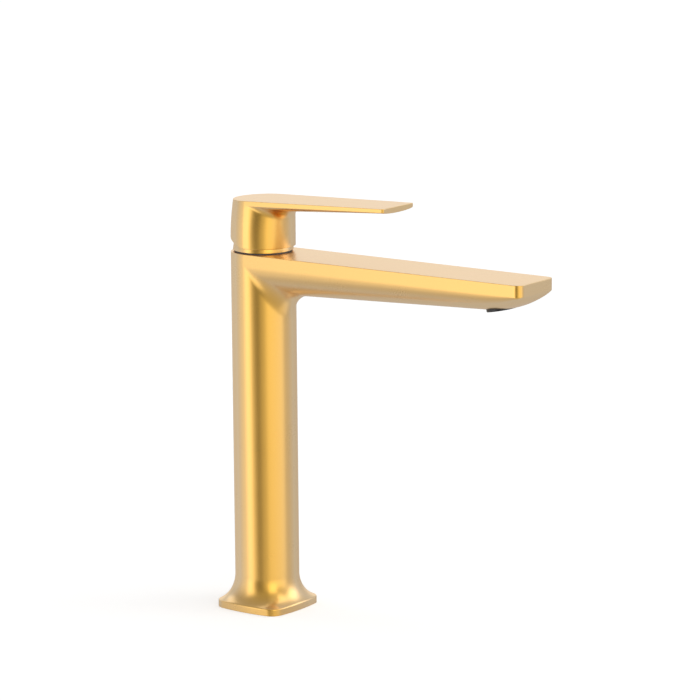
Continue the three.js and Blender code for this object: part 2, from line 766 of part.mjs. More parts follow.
function makeRotor() {
  const slot_half = rotor_slot_length / 2;
  const slot_side = stem_width / 2 + fit_gap;
  const lug_outer = rotor_radius;
  const lug_inner = rotor_radius - rotor_lug_thickness;
  const lug_bottom = carrier_plate_top_z + running_gap;
  const core = joined(
    disc(rotor_radius, flange_bottom_z, pivot_z + rotor_rise),
    disc(rotor_flange_radius, flange_bottom_z, flange_top_z),
  );
  const lugs = [1, -1].map((hand) => {
    const [low, high] = [hand * lug_inner, hand * lug_outer].sort((a, b) => a - b);
    return block([-rotor_lug_length / 2, low, lug_bottom], [rotor_lug_length / 2, high, flange_top_z]);
  });
  const slot_bottom = flange_bottom_z - cut_overrun;
  const slot_top = pivot_z + rotor_rise + cut_overrun;
  const slot = block([-slot_half, -slot_side, slot_bottom], [slot_half, slot_side, slot_top]);
  const reach = rotor_radius + cut_overrun;
  const pin_hole = rodBetween(
    pin_radius + fit_gap, new THREE.Vector3(0, -reach, pivot_z), new THREE.Vector3(0, reach, pivot_z));
  return cut(joined(core, ...lugs), slot, pin_hole);
}

function makePivotPin() {
  const half = pin_length / 2;
  return rodBetween(pin_radius, new THREE.Vector3(0, -half, pivot_z), new THREE.Vector3(0, half, pivot_z));
}

function makeStem() {
  const half = stem_width / 2;
  const bar = block([-half, -half, pivot_z - stem_drop], [half, half, pivot_z + stem_rise]);
  const rod = disc(stem_rod_radius, pivot_z - ball_drop, pivot_z, small_segments);
  const ball = solidOf(new THREE.SphereGeometry(ball_radius, small_segments, small_segments / 2)
    .rotateX(quarter_turn).translate(0, 0, pivot_z - ball_drop));
  const pin_hole = rodBetween(
    pin_radius + fit_gap,
    new THREE.Vector3(0, -stem_width, pivot_z),
    new THREE.Vector3(0, stem_width, pivot_z),
  );
  return cut(joined(bar, rod, ball), pin_hole);
}

function makeRetainingNut() {
  const bore = neck_radius + running_gap;
  const top = pivot_z + nut_rise;
  const hex = solidOf(discShape(nut_hex_radius, top - nut_hex_depth, top + cut_overrun, hex_sides));
  return cut(ring(nut_radius, bore, shoulder_top_z, top), hex);
}

// Dome with a foot on the body's top, a thread bore over the nut and a round mouth for the stem
function makeDomeCover() {
  const inner_radius = dome_radius - dome_wall;
  const thread_radius = nut_radius + fit_gap;
  const foot_angle = Math.asin(dome_foot_height / dome_radius);
  const mouth_angle = Math.acos(dome_mouth_radius / dome_radius);
  const inner_mouth_angle = Math.acos(dome_mouth_radius / inner_radius);
  const inner_foot_angle = Math.asin(dome_thread_height / inner_radius);
  const outer_angles = evenSteps(foot_angle, mouth_angle, dome_steps);
  const inner_angles = evenSteps(inner_mouth_angle, inner_foot_angle, dome_steps);
  const arcPoint = (radius, angle) => [radius * Math.cos(angle), pivot_z + radius * Math.sin(angle)];
  const profile = [
    [thread_radius, pivot_z],
    [dome_foot_radius, pivot_z],
    [dome_foot_radius, pivot_z + dome_foot_height],
    ...outer_angles.map((angle) => arcPoint(dome_radius, angle)),
    ...inner_angles.map((angle) => arcPoint(inner_radius, angle)),
    [thread_radius, pivot_z + dome_thread_height],
    [thread_radius, pivot_z],
  ];
  return solidOf(turned(profile));
}

// Flat seal in the undercut between the dome and the body's top
function makeDomeSeal() {
  const inner = dome_foot_radius + fit_gap;
  return ring(inner + dome_seal_width, inner, pivot_z, pivot_z + dome_foot_height - fit_gap);
}

// The hub's rim lies flat in front and rises to the rear, which swings down as the lever is lifted
function rimZ(x) {
  return pivot_z + handle_rim_height + Math.max(handle_cut_start - x, 0) * Math.tan(handle_cut_angle);
}

function hubLowerPoint(azimuth, row) {
  const rim_radius = column_radius - handle_chamfer_inset;
  const cap_radius = rim_radius - handle_wall;
  const radius = [cap_radius, rim_radius, column_radius][row];
  const x = radius * Math.cos(azimuth);
  const rise = row === 2 ? handle_chamfer_height : 0;
  return new THREE.Vector3(x, radius * Math.sin(azimuth), rimZ(x) + rise);
}

// Room inside the hub round its boss, with a web at the rear for the screw
function hubHollow() {
  const clearance_radius = dome_radius + running_gap;
  const ceiling = pivot_z + handle_height - handle_wall - lever_root_band;
  const ball = solidOf(new THREE.SphereGeometry(clearance_radius, round_segments, round_segments / 2)
    .rotateX(quarter_turn).translate(0, 0, pivot_z));
  const upper = disc(hub_hollow_radius, pivot_z + boss_start, ceiling);
  const boss = disc(boss_radius, pivot_z + boss_start, ceiling + cut_overrun);
  const web_side = screw_radius + fit_gap + handle_wall / 2;
  const web_bottom = pivot_z + screw_rise - web_side;
  const web = block([-column_radius, -web_side, web_bottom], [0, web_side, ceiling + cut_overrun]);
  return cut(joined(ball, upper), boss, cut(web, ball));
}

function makeHandle() {
  const outside = towerWithArm({
    arm: lever,
    wallRadius: hubRadius,
    blend_radius: lever_blend_radius,
    lower_rows: rim_rows,
    lowerPoint: hubLowerPoint,
    wall_steps: hub_wall_steps,
  });
  const socket_half = stem_width / 2 + fit_gap;
  const socket_bottom = pivot_z + boss_start - cut_overrun;
  const socket = block(
    [-socket_half, -socket_half, socket_bottom], [socket_half, socket_half, pivot_z + stem_rise + fit_gap]);
  return cut(outside, hubHollow(), socket, screwHole(), plugHole());
}

const screw_z = pivot_z + screw_rise;
const plug_face_x = -hubRadius(half_turn, screw_z) + plug_sink;
const plug_seat_x = plug_face_x + plug_length + fit_gap;

function rodAlongX(radius, from, to, z, segments) {
  return rodBetween(radius, new THREE.Vector3(from, 0, z), new THREE.Vector3(to, 0, z), segments);
}

function screwHole() {
  return rodAlongX(screw_radius + fit_gap, plug_face_x, 0, screw_z);
}

function plugHole() {
  return rodAlongX(plug_radius + fit_gap, plug_face_x - cut_overrun, plug_seat_x, screw_z);
}

function makeHandleScrew() {
  const tip = -stem_width / 2 - fit_gap;
  const rear = tip - screw_length;
  const key = rodAlongX(screw_key_radius, rear - cut_overrun, rear + screw_key_depth, screw_z, hex_sides);
  return cut(rodAlongX(screw_radius, rear, tip, screw_z), key);
}

function makeIndexPlug() {
  return rodAlongX(plug_radius, plug_face_x, plug_face_x + plug_length, screw_z);
}

function makeOutletTube() {
  return cut(
    rodBetween(tube_radius, tube_root, tube_tip),
    rodBetween(tube_bore, alongTube(tube_root, -cut_overrun), alongTube(tube_tip, cut_overrun)),
  );
}

function makeOutletSocket() {
  const chamber_bottom = mouth.z + aerator_rise;
  const chamber_top = socket_top_z - socket_roof;
  return cut(
    discAt(aerator_reach, 0, socket_radius, socket_bottom_z, socket_top_z, round_segments),
    tiltedDisc(aerator_thread_radius + fit_gap, 0, aerator_rise + gasket_height + fit_gap, round_segments),
    discAt(aerator_reach, 0, socket_chamber_radius, chamber_bottom, chamber_top, round_segments),
    tubeSeat(tube_tip, -1),
    rodBetween(tube_bore, tube_tip, alongTube(tube_tip, socket_radius - tube_insertion)),
  );
}

// Aerator pieces are made upright about their own axis, in the tilted frame at the spout's mouth
function makeAeratorHousing() {
  return solidOf(turned([
    [aerator_lip_bore, -aerator_drop],
    [aerator_radius, -aerator_drop],
    [aerator_radius, aerator_flange_rise],
    [aerator_thread_radius, aerator_flange_rise],
    [aerator_thread_radius, aerator_rise],
    [aerator_bore, aerator_rise],
    [aerator_bore, aerator_lip_height - aerator_drop],
    [aerator_lip_bore, aerator_lip_height - aerator_drop],
    [aerator_lip_bore, -aerator_drop],
  ]));
}

const insert_bottom = aerator_lip_height - aerator_drop;
const insert_radius = aerator_bore - fit_gap;
const screen_bottom = insert_bottom + insert_height;

// Rings of small holes round the centre; each ring has as many more holes as it lies further out
function holesInRings(hole_radius, bottom, top) {
  return evenSteps(1, hole_rings, hole_rings - 1).flatMap((place) => {
    const ring_radius = place * insert_radius / (hole_rings + 1);
    const count = place * ring_holes;
    return evenSteps(0, full_turn, count).slice(1).map((angle) => {
      const [x, y] = [ring_radius * Math.cos(angle), ring_radius * Math.sin(angle)];
      return discAt(x, y, hole_radius, bottom - cut_overrun, top + cut_overrun, hole_sides);
    });
  });
}

function makeAeratorInsert() {
  return cut(
    disc(insert_radius, insert_bottom, screen_bottom),
    discAt(0, 0, insert_hole_radius, insert_bottom - cut_overrun, screen_bottom + cut_overrun, hole_sides),
    ...holesInRings(insert_hole_radius, insert_bottom, screen_bottom),
  );
}

function makeAeratorScreen() {
  const top = screen_bottom + screen_height;
  const holes = holesInRings(screen_hole_radius, screen_bottom, top);
  return cut(disc(insert_radius, screen_bottom, top), ...holes);
}

function makeAeratorGasket() {
  return ring(aerator_thread_radius, gasket_bore, aerator_rise, aerator_rise + gasket_height);
}

function piece(name, finish, solid) {
  const mesh = new THREE.Mesh(geometryOf(solid), new THREE.MeshStandardMaterial(finish));
  mesh.name = name;
  return mesh;
}

const base_group = new THREE.Group();
base_group.add(
  piece("body", brushed_gold, makeBody()),
  piece("mounting_plate", cast_brass, makeMountingPlate()),
  piece("base_seal", black_rubber, ring(base_seal_outer, base_seal_inner, 0, base_seal_height)),
  piece("valve_block", cast_brass, makeValveBlock()),
  piece("block_seal", black_rubber, makeChamberSeal(block_seal_z)),
);

const cartridge_group = new THREE.Group();
cartridge_group.add(
  piece("cartridge_base", white_plastic, makeCartridgeBase()),
  piece("inlet_seal_hot", black_rubber, makeInletSeal(port_spacing)),
  piece("inlet_seal_cold", black_rubber, makeInletSeal(-port_spacing)),
  piece("fixed_disc", ceramic, makeFixedDisc()),
  piece("moving_disc", ceramic, makeMovingDisc()),
  piece("disc_carrier", blue_plastic, makeDiscCarrier()),
  piece("cartridge_housing", white_plastic, makeCartridgeHousing()),
  piece("housing_seal", black_rubber, makeChamberSeal(housing_seal_z)),
  piece("rotor", grey_plastic, makeRotor()),
  piece("pivot_pin", steel, makePivotPin()),
  piece("stem", steel, makeStem()),
  piece("retaining_nut", cast_brass, makeRetainingNut()),
  piece("dome_cover", brushed_gold, makeDomeCover()),
  piece("dome_seal", black_rubber, makeDomeSeal()),
);

const handle_group = new THREE.Group();
handle_group.add(
  piece("handle", brushed_gold, makeHandle()),
  piece("handle_screw", steel, makeHandleScrew()),
  piece("index_plug", grey_plastic, makeIndexPlug()),
);

const outlet_group = new THREE.Group();
outlet_group.add(
  piece("outlet_tube", cast_brass, makeOutletTube()),
  piece("tube_seal_root", black_rubber, makeTubeSeal(tube_root, 1)),
  piece("tube_seal_tip", black_rubber, makeTubeSeal(tube_tip, -1)),
  piece("outlet_socket", cast_brass, makeOutletSocket()),
);

const aerator_group = new THREE.Group();
aerator_group.position.copy(mouth);
aerator_group.rotation.y = -aerator_tilt;
aerator_group.add(
  piece("aerator_housing", black_plastic, makeAeratorHousing()),
  piece("aerator_insert", black_plastic, makeAeratorInsert()),
  piece("aerator_screen", steel, makeAeratorScreen()),
  piece("aerator_gasket", black_rubber, makeAeratorGasket()),
);

const group = new THREE.Group();
group.add(base_group, cartridge_group, handle_group, outlet_group, aerator_group);

export default group;
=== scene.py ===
"""Single-lever basin mixer in satin gold: its smooth outer surfaces, its finishes, the studio and the camera.

All lengths are in metres in the row frame: +Z up the column, +X along the spout, the origin under the base.
"""

import json
import logging
import math
from dataclasses import dataclass
from enum import Enum
from typing import Any, Callable, Sequence

import bmesh
import bpy
import numpy as np
from mathutils import Matrix, Vector

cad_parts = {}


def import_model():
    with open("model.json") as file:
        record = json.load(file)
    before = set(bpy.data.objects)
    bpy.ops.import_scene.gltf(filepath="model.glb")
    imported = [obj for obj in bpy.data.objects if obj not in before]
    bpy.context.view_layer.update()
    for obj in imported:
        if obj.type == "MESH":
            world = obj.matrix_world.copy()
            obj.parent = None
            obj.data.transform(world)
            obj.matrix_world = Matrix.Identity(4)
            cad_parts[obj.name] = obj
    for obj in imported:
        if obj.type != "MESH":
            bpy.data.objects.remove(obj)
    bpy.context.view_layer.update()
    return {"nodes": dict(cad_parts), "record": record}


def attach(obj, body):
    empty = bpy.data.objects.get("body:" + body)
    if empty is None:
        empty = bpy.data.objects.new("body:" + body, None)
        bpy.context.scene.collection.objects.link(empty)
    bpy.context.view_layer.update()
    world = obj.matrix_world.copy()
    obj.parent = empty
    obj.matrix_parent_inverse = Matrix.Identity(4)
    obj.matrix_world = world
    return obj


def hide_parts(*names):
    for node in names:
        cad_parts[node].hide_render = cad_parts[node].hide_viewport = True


LOG = logging.getLogger("mixer")
MM = 0.001
QUARTER = math.pi / 2

# Steps round a turned piece, from the widest to the narrowest
WIDE_TURN = 128
HUB_TURN = 96
PLUG_TURN = 64
TUBE_TURN = 48

# Meshes: steps of a rounded edge, the gap that is merged, shading, and guards for a division
EASE_STEPS = 5
MERGED_GAP = 0.0005 * MM
SHARP_ANGLE = math.radians(32)
FACE_WEIGHT = 60
LEAST_LENGTH = 1e-12
LEAST_DEPTH = 1e-9

Colour = tuple[float, float, float, float]
Values = float | np.ndarray


class MixerBody(str, Enum):
    """The moving bodies that a piece can ride on."""

    FIXED = "faucet_body"
    LEVER = "lever"


class Slot(str, Enum):
    """The material slots of the record."""

    GOLD = "brushed_gold"
    BRASS = "cast_brass"
    STEEL = "steel"
    CERAMIC = "ceramic"
    WHITE = "white_plastic"
    GREY = "grey_plastic"
    BLUE = "blue_plastic"
    BLACK = "black_plastic"
    RUBBER = "black_rubber"


# Shader graphs


class Wire:
    """One output of a shader graph. Sums, products and the like on it add Math nodes."""

    def __init__(self, graph: "Graph", socket: bpy.types.NodeSocket | None) -> None:
        """Keeps the graph and the socket."""
        self.graph = graph
        self.socket = socket

    def _maths(self, operation: str, left: "Wire | float", right: "Wire | float") -> "Wire":
        """Adds one Math node and returns its output."""
        return self.graph.node("ShaderNodeMath", {"operation": operation}, {0: left, 1: right})

    def __add__(self, other: "Wire | float") -> "Wire":
        """Sum."""
        return self._maths("ADD", self, other)

    def __radd__(self, other: "Wire | float") -> "Wire":
        """Sum with the number on the left."""
        return self._maths("ADD", other, self)

    def __sub__(self, other: "Wire | float") -> "Wire":
        """Difference."""
        return self._maths("SUBTRACT", self, other)

    def __rsub__(self, other: "Wire | float") -> "Wire":
        """Difference with the number on the left."""
        return self._maths("SUBTRACT", other, self)

    def __mul__(self, other: "Wire | float") -> "Wire":
        """Product."""
        return self._maths("MULTIPLY", self, other)

    def __rmul__(self, other: "Wire | float") -> "Wire":
        """Product with the number on the left."""
        return self._maths("MULTIPLY", other, self)


class Graph:
    """Adds nodes to a node tree, one method for every type."""

    def __init__(self, tree: bpy.types.NodeTree) -> None:
        """Starts from an emptied tree."""
        self.tree = tree
        tree.nodes.clear()

    def node(self, kind: str, settings: dict[str, Any] | None = None,
             inputs: dict[int | str, Any] | None = None, output: int | str = 0) -> Wire:
        """Adds one node.

        Args:
            kind: The node's type name.
            settings: Attributes, set before the sockets; "stops" holds a ramp's (place, colour) pairs.
            inputs: Values or wires by socket name or number.
            output: The output that is returned.

        Returns:
            The wire from that output.
        """
        made = self.tree.nodes.new(kind)
        for name, value in (settings or {}).items():
            if name == "stops":
                ramp = made.color_ramp.elements
                for place, (at, colour) in enumerate(value):
                    stop = ramp[place] if place < len(ramp) else ramp.new(at)
                    stop.position, stop.color = at, colour
            else:
                setattr(made, name, value)
        for place, value in (inputs or {}).items():
            if isinstance(value, Wire):
                self.tree.links.new(value.socket, made.inputs[place])
            else:
                made.inputs[place].default_value = value
        return Wire(self, made.outputs[output] if made.outputs else None)

    def noise(self, coords: Wire, scale: float, detail: float = 2.0) -> Wire:
        """Noise between 0 and 1 with that many features to the metre."""
        return self.node("ShaderNodeTexNoise", None, {"Vector": coords, "Scale": scale, "Detail": detail})

    def blend(self, factor: Wire, low: Colour, high: Colour) -> Wire:
        """Mix of two colours."""
        return self.node("ShaderNodeMix", {"data_type": "RGBA"}, {0: factor, 6: low, 7: high}, 2)

    def bump(self, height: Wire, depth: float) -> Wire:
        """Normal that follows a height of 0 to 1 times a depth in metres."""
        return self.node("ShaderNodeBump", None, {"Height": height, "Distance": depth})

    def ray(self, fact: str) -> Wire:
        """Whether a ray is of some kind, as 0 or 1, or how long it runs."""
        return self.node("ShaderNodeLightPath", None, None, fact)

    def rise(self, value: Wire, start: float, end: float) -> Wire:
        """0 up to the start and 1 from the end on, with a smooth step between them."""
        return self.node("ShaderNodeMapRange", {"interpolation_type": "SMOOTHSTEP"},
                         {"Value": value, "From Min": start, "From Max": end})

    def window(self, value: Wire, low: float, high: float, softness: float) -> Wire:
        """1 where the value lies between two bounds and 0 outside, with smooth edges."""
        inside, past = (self.rise(value, at - softness, at + softness) for at in (low, high))
        return inside * (1 - past)


# Finishes


@dataclass(frozen=True)
class Finish:
    """A surface finish: a colour, its gloss and the grain of the real thing."""

    name: str
    colour: Colour
    shade: Colour
    roughness: float
    metallic: float = 0.0
    patch_scale: float = 60.0
    grain_scale: float = 1500.0
    grain_depth: float = 0.02 * MM
    grain_stretch: tuple[float, float, float] = (1.0, 1.0, 1.0)
    roughness_swing: float = 0.06
    coat: float = 0.0
    specular: float = 0.5
    patch_share: float = 0.7
    grain_share: float = 0.3
    grain_detail: float = 3.0
    coat_roughness: float = 0.08

    def material(self) -> bpy.types.Material:
        """The finish's material, made once.

        Returns:
            The material, from the file's own list after the first call.
        """
        made = bpy.data.materials.get(self.name)
        if made is None:
            made = bpy.data.materials.new(self.name)
            made.use_nodes = True
            graph = Graph(made.node_tree)
            surface = self.surface(graph)
            graph.node("ShaderNodeOutputMaterial", None, {"Surface": surface})
        return made

    def texture(self, graph: Graph) -> tuple[Wire, Wire, Wire]:
        """Colour, roughness and normal that vary over the surface.

        Both noises are 0.5 on average, so the roughness swings to both sides of the finish's own.

        Args:
            graph: The material's graph.

        Returns:
            The three wires, in that order.
        """
        place = graph.node("ShaderNodeTexCoord", None, None, "Object")
        stretched = graph.node("ShaderNodeMapping", None, {"Vector": place, "Scale": self.grain_stretch})
        patches = graph.noise(place, self.patch_scale)
        grain = graph.noise(stretched, self.grain_scale, self.grain_detail)
        mottle = patches * self.patch_share + grain * self.grain_share
        colour = graph.blend(mottle, self.shade, self.colour)
        roughness = self.roughness + (patches + grain - 1) * self.roughness_swing
        return colour, roughness, graph.bump(grain, self.grain_depth)

    def surface(self, graph: Graph) -> Wire:
        """One Principled shader with the varying colour, roughness and normal."""
        colour, roughness, normal = self.texture(graph)
        return graph.node("ShaderNodeBsdfPrincipled", None, {
            "Base Color": colour, "Roughness": roughness, "Normal": normal,
            "Metallic": self.metallic, "Coat Weight": self.coat,
            "Coat Roughness": self.coat_roughness, "Specular IOR Level": self.specular})


@dataclass(frozen=True)
class SatinMetal(Finish):
    """Blasted and plated metal, whose fine frosting turns its gloss pale towards the edges."""

    pale: Colour = (0.95, 0.945, 0.86, 1.0)
    pale_stops: tuple[tuple[float, float], ...] = (
        (0.0, 0.01), (0.125, 0.09), (0.21, 0.15), (0.325, 0.25), (0.5, 0.45), (0.81, 0.27), (1.0, 0.3))
    facing_blend: float = 0.5

    def surface(self, graph: Graph) -> Wire:
        """The coloured metal, and a paler gloss over it that grows as the surface turns away.

        Args:
            graph: The material's graph.

        Returns:
            The mixed shader.
        """
        colour, roughness, normal = self.texture(graph)
        shared = {"Roughness": roughness, "Normal": normal, "Metallic": self.metallic}
        body = graph.node("ShaderNodeBsdfPrincipled", None, {"Base Color": colour, **shared})
        frost = graph.node("ShaderNodeBsdfPrincipled", None, {"Base Color": self.pale, **shared})
        turned = graph.node("ShaderNodeLayerWeight", None, {"Blend": self.facing_blend}, "Facing")
        stops = [(at, (grey, grey, grey, 1.0)) for at, grey in self.pale_stops]
        share = graph.node("ShaderNodeValToRGB", {"stops": stops}, {0: turned})
        return graph.node("ShaderNodeMixShader", None, {0: share, 1: body, 2: frost})


FINISHES: dict[Slot, Finish] = {
    Slot.GOLD: SatinMetal(
        "satin_gold", (0.92, 0.52, 0.09, 1), (0.88, 0.485, 0.08, 1), 0.28, 1.0, patch_scale=35.0,
        grain_scale=2600.0, grain_depth=0.004 * MM, roughness_swing=0.03),
    Slot.BRASS: Finish(
        "cast_brass", (0.60, 0.40, 0.14, 1), (0.42, 0.27, 0.09, 1), 0.42, 1.0, patch_scale=90.0,
        grain_scale=1400.0, grain_depth=0.05 * MM, roughness_swing=0.12),
    Slot.STEEL: Finish(
        "turned_steel", (0.62, 0.62, 0.63, 1), (0.48, 0.48, 0.5, 1), 0.3, 1.0, grain_scale=600.0,
        grain_depth=0.01 * MM, grain_stretch=(1.0, 1.0, 9.0), roughness_swing=0.1),
    Slot.CERAMIC: Finish(
        "lapped_ceramic", (0.86, 0.85, 0.82, 1), (0.8, 0.79, 0.75, 1), 0.18, grain_scale=900.0,
        grain_depth=0.004 * MM, roughness_swing=0.05, coat=0.3),
    Slot.WHITE: Finish("white_moulding", (0.78, 0.77, 0.74, 1), (0.7, 0.69, 0.66, 1), 0.48),
    Slot.GREY: Finish("grey_moulding", (0.27, 0.285, 0.3, 1), (0.22, 0.23, 0.245, 1), 0.45),
    Slot.BLUE: Finish("blue_moulding", (0.035, 0.12, 0.28, 1), (0.025, 0.09, 0.22, 1), 0.45),
    Slot.BLACK: Finish("charcoal_moulding", (0.035, 0.032, 0.034, 1), (0.022, 0.02, 0.022, 1), 0.38),
    Slot.RUBBER: Finish(
        "black_rubber", (0.016, 0.016, 0.017, 1), (0.009, 0.009, 0.01, 1), 0.72, grain_scale=1100.0,
        grain_depth=0.04 * MM, roughness_swing=0.1, specular=0.12),
}


# Surfaces


class Shell:
    """One closed surface, gathered from grids of points and flat caps."""

    def __init__(self) -> None:
        """Starts empty."""
        self.points: list[np.ndarray] = []
        self.faces: list[list[int]] = []
        self.count = 0

    def grid(self, rows: np.ndarray, closed: bool = False) -> None:
        """Adds four-sided faces between neighbours of a grid.

        Args:
            rows: Points by row and column. Seen from outside, columns run to the right and rows upwards.
            closed: Whether the last column joins the first.
        """
        if closed:
            rows = np.concatenate([rows, rows[:, :1]], axis=1)
        height, width = rows.shape[:2]
        index = self.count + np.arange(height * width).reshape(height, width)
        corners = [index[:-1, :-1], index[:-1, 1:], index[1:, 1:], index[1:, :-1]]
        self.faces.extend(np.stack(corners, axis=-1).reshape(-1, 4).tolist())
        self.points.append(rows.reshape(-1, 3))
        self.count += height * width

    def cap(self, loop: np.ndarray) -> None:
        """Fills a flat loop, given anticlockwise as seen from outside.

        Args:
            loop: Its points.
        """
        self.faces.append(list(range(self.count, self.count + len(loop))))
        self.points.append(loop)
        self.count += len(loop)

    def piece(self, name: str) -> bpy.types.Object:
        """Makes the mesh object, with doubled points merged.

        Args:
            name: The object's name.

        Returns:
            The new object, in the scene.
        """
        mesh = bpy.data.meshes.new(name)
        mesh.from_pydata(np.concatenate(self.points).tolist(), [], self.faces)
        work = bmesh.new()
        work.from_mesh(mesh)
        bmesh.ops.remove_doubles(work, verts=work.verts, dist=MERGED_GAP)
        work.to_mesh(mesh)
        work.free()
        made = bpy.data.objects.new(name, mesh)
        bpy.context.scene.collection.objects.link(made)
        return made


def settle(piece: bpy.types.Object) -> bpy.types.Object:
    """Applies a piece's modifiers to its mesh.

    Args:
        piece: The mesh object.

    Returns:
        The same object.
    """
    graph = bpy.context.evaluated_depsgraph_get()
    piece.data = bpy.data.meshes.new_from_object(piece.evaluated_get(graph))
    piece.modifiers.clear()
    return piece


def carve(piece: bpy.types.Object, tools: Sequence[bpy.types.Object]) -> bpy.types.Object:
    """Cuts tools out of a piece and removes them.

    Args:
        piece: The closed mesh that is changed.
        tools: Closed meshes.

    Returns:
        The changed piece.
    """
    for tool in tools:
        cut = piece.modifiers.new("carve", "BOOLEAN")
        cut.operation, cut.solver, cut.object = "DIFFERENCE", "EXACT", tool
    settle(piece)
    for tool in tools:
        bpy.data.objects.remove(tool)
    return piece


def eased(before: np.ndarray, corner: np.ndarray, after: np.ndarray) -> np.ndarray:
    """Rows that round a corner C from A before it to B past it: (1-t)^2 A + 2t(1-t) C + t^2 B.

    Args:
        before: Points A where the rounding starts, as an array of points.
        corner: The sharp corner's points C.
        after: Points B where it ends.

    Returns:
        One row of points for every t, which takes even steps.
    """
    share = np.linspace(0, 1, EASE_STEPS + 1)[:, None, None]
    return (1 - share) ** 2 * before + 2 * share * (1 - share) * corner + share ** 2 * after


def drawn_in(loop: np.ndarray, width: float) -> np.ndarray:
    """Moves a closed anticlockwise loop inwards in plan, square to the sum of its unit steps.

    Args:
        loop: Its points.
        width: How far it moves.

    Returns:
        The moved points, at their old heights.
    """
    step = np.roll(loop, -1, axis=0)[:, :2] - loop[:, :2]
    step /= np.maximum(np.linalg.norm(step, axis=1, keepdims=True), LEAST_LENGTH)
    along = step + np.roll(step, 1, axis=0)
    along /= np.maximum(np.linalg.norm(along, axis=1, keepdims=True), LEAST_LENGTH)
    moved = loop.copy()
    moved[:, :2] += width * np.column_stack([-along[:, 1], along[:, 0]])
    return moved


def smooth(piece: bpy.types.Object) -> bpy.types.Object:
    """Shades a piece smooth, with its sharp edges kept and its flat faces flat.

    Args:
        piece: The mesh object.

    Returns:
        The same object.
    """
    piece.data.shade_smooth()
    piece.data.set_sharp_from_angle(angle=SHARP_ANGLE)
    weigh = piece.modifiers.new("weigh", "WEIGHTED_NORMAL")
    weigh.keep_sharp, weigh.weight = True, FACE_WEIGHT
    return settle(piece)


def lathe(name: str, profile: Sequence[tuple[float, float]], segments: int = HUB_TURN,
          place: Matrix | None = None) -> bpy.types.Object:
    """Turns a profile about Z: each point (r, z) goes to (r cos a, r sin a, z) for even angles a.

    Args:
        name: The piece's name.
        profile: Radius and height pairs, outside rising, that start and end on the axis or close.
        segments: Steps round the axis.
        place: Where the axis stands.

    Returns:
        The closed mesh object.
    """
    angle = np.linspace(0, 2 * math.pi, segments, endpoint=False)
    radius, height = np.array(profile).T[:, :, None]
    rows = np.stack(np.broadcast_arrays(radius * np.cos(angle), radius * np.sin(angle), height), axis=-1)
    if place is not None:
        turn = np.array(place)
        rows = rows @ turn[:3, :3].T + turn[:3, 3]
    shell = Shell()
    shell.grid(rows, closed=True)
    return shell.piece(name)


def rod(name: str, radius: float, bottom: float, top: float, segments: int = HUB_TURN,
        place: Matrix | None = None) -> bpy.types.Object:
    """A solid cylinder between two heights on its axis."""
    return lathe(name, [(0, bottom), (radius, bottom), (radius, top), (0, top)], segments, place)


def ring(name: str, inner: float, outer: float, bottom: float, top: float) -> bpy.types.Object:
    """A flat ring round Z between two radii and two heights."""
    return lathe(name, [(inner, bottom), (outer, bottom), (outer, top), (inner, top), (inner, bottom)],
                 WIDE_TURN)


def box(name: str, low: Sequence[float], high: Sequence[float]) -> bpy.types.Object:
    """A solid block between two corners: its outline at the low height, carried to the high one.

    Args:
        name: The piece's name.
        low: Its least x, y and z.
        high: Its greatest x, y and z.

    Returns:
        The closed mesh object.
    """
    (x0, y0, z0), (x1, y1, z1) = low, high
    outline = np.array([[x0, y0], [x1, y0], [x1, y1], [x0, y1]])
    loops = [np.column_stack([outline, np.full(len(outline), z)]) for z in (z0, z1)]
    shell = Shell()
    shell.grid(np.stack(loops), closed=True)
    shell.cap(loops[1])
    shell.cap(loops[0][::-1])
    return shell.piece(name)


def axis_at(start: Vector, end: Vector) -> Matrix:
    """The placing that turns +Z from one point towards another."""
    turn = Vector((0, 0, 1)).rotation_difference(end - start).to_matrix().to_4x4()
    return Matrix.Translation(start) @ turn


def wear(piece: bpy.types.Object, body: MixerBody, slot: Slot, *nodes: str) -> None:
    """Gives a finished piece its finish and body, in place of the nodes it stands for.

    Args:
        piece: The visible mesh object.
        body: The body that it rides on.
        slot: Its material slot.
        nodes: The nodes that it replaces.
    """
    piece.data.materials.clear()
    piece.data.materials.append(FINISHES[slot].material())
    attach(piece, body.value)
    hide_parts(*nodes)
    LOG.info("%s: %d faces on %s", piece.name, len(piece.data.polygons), body.value)


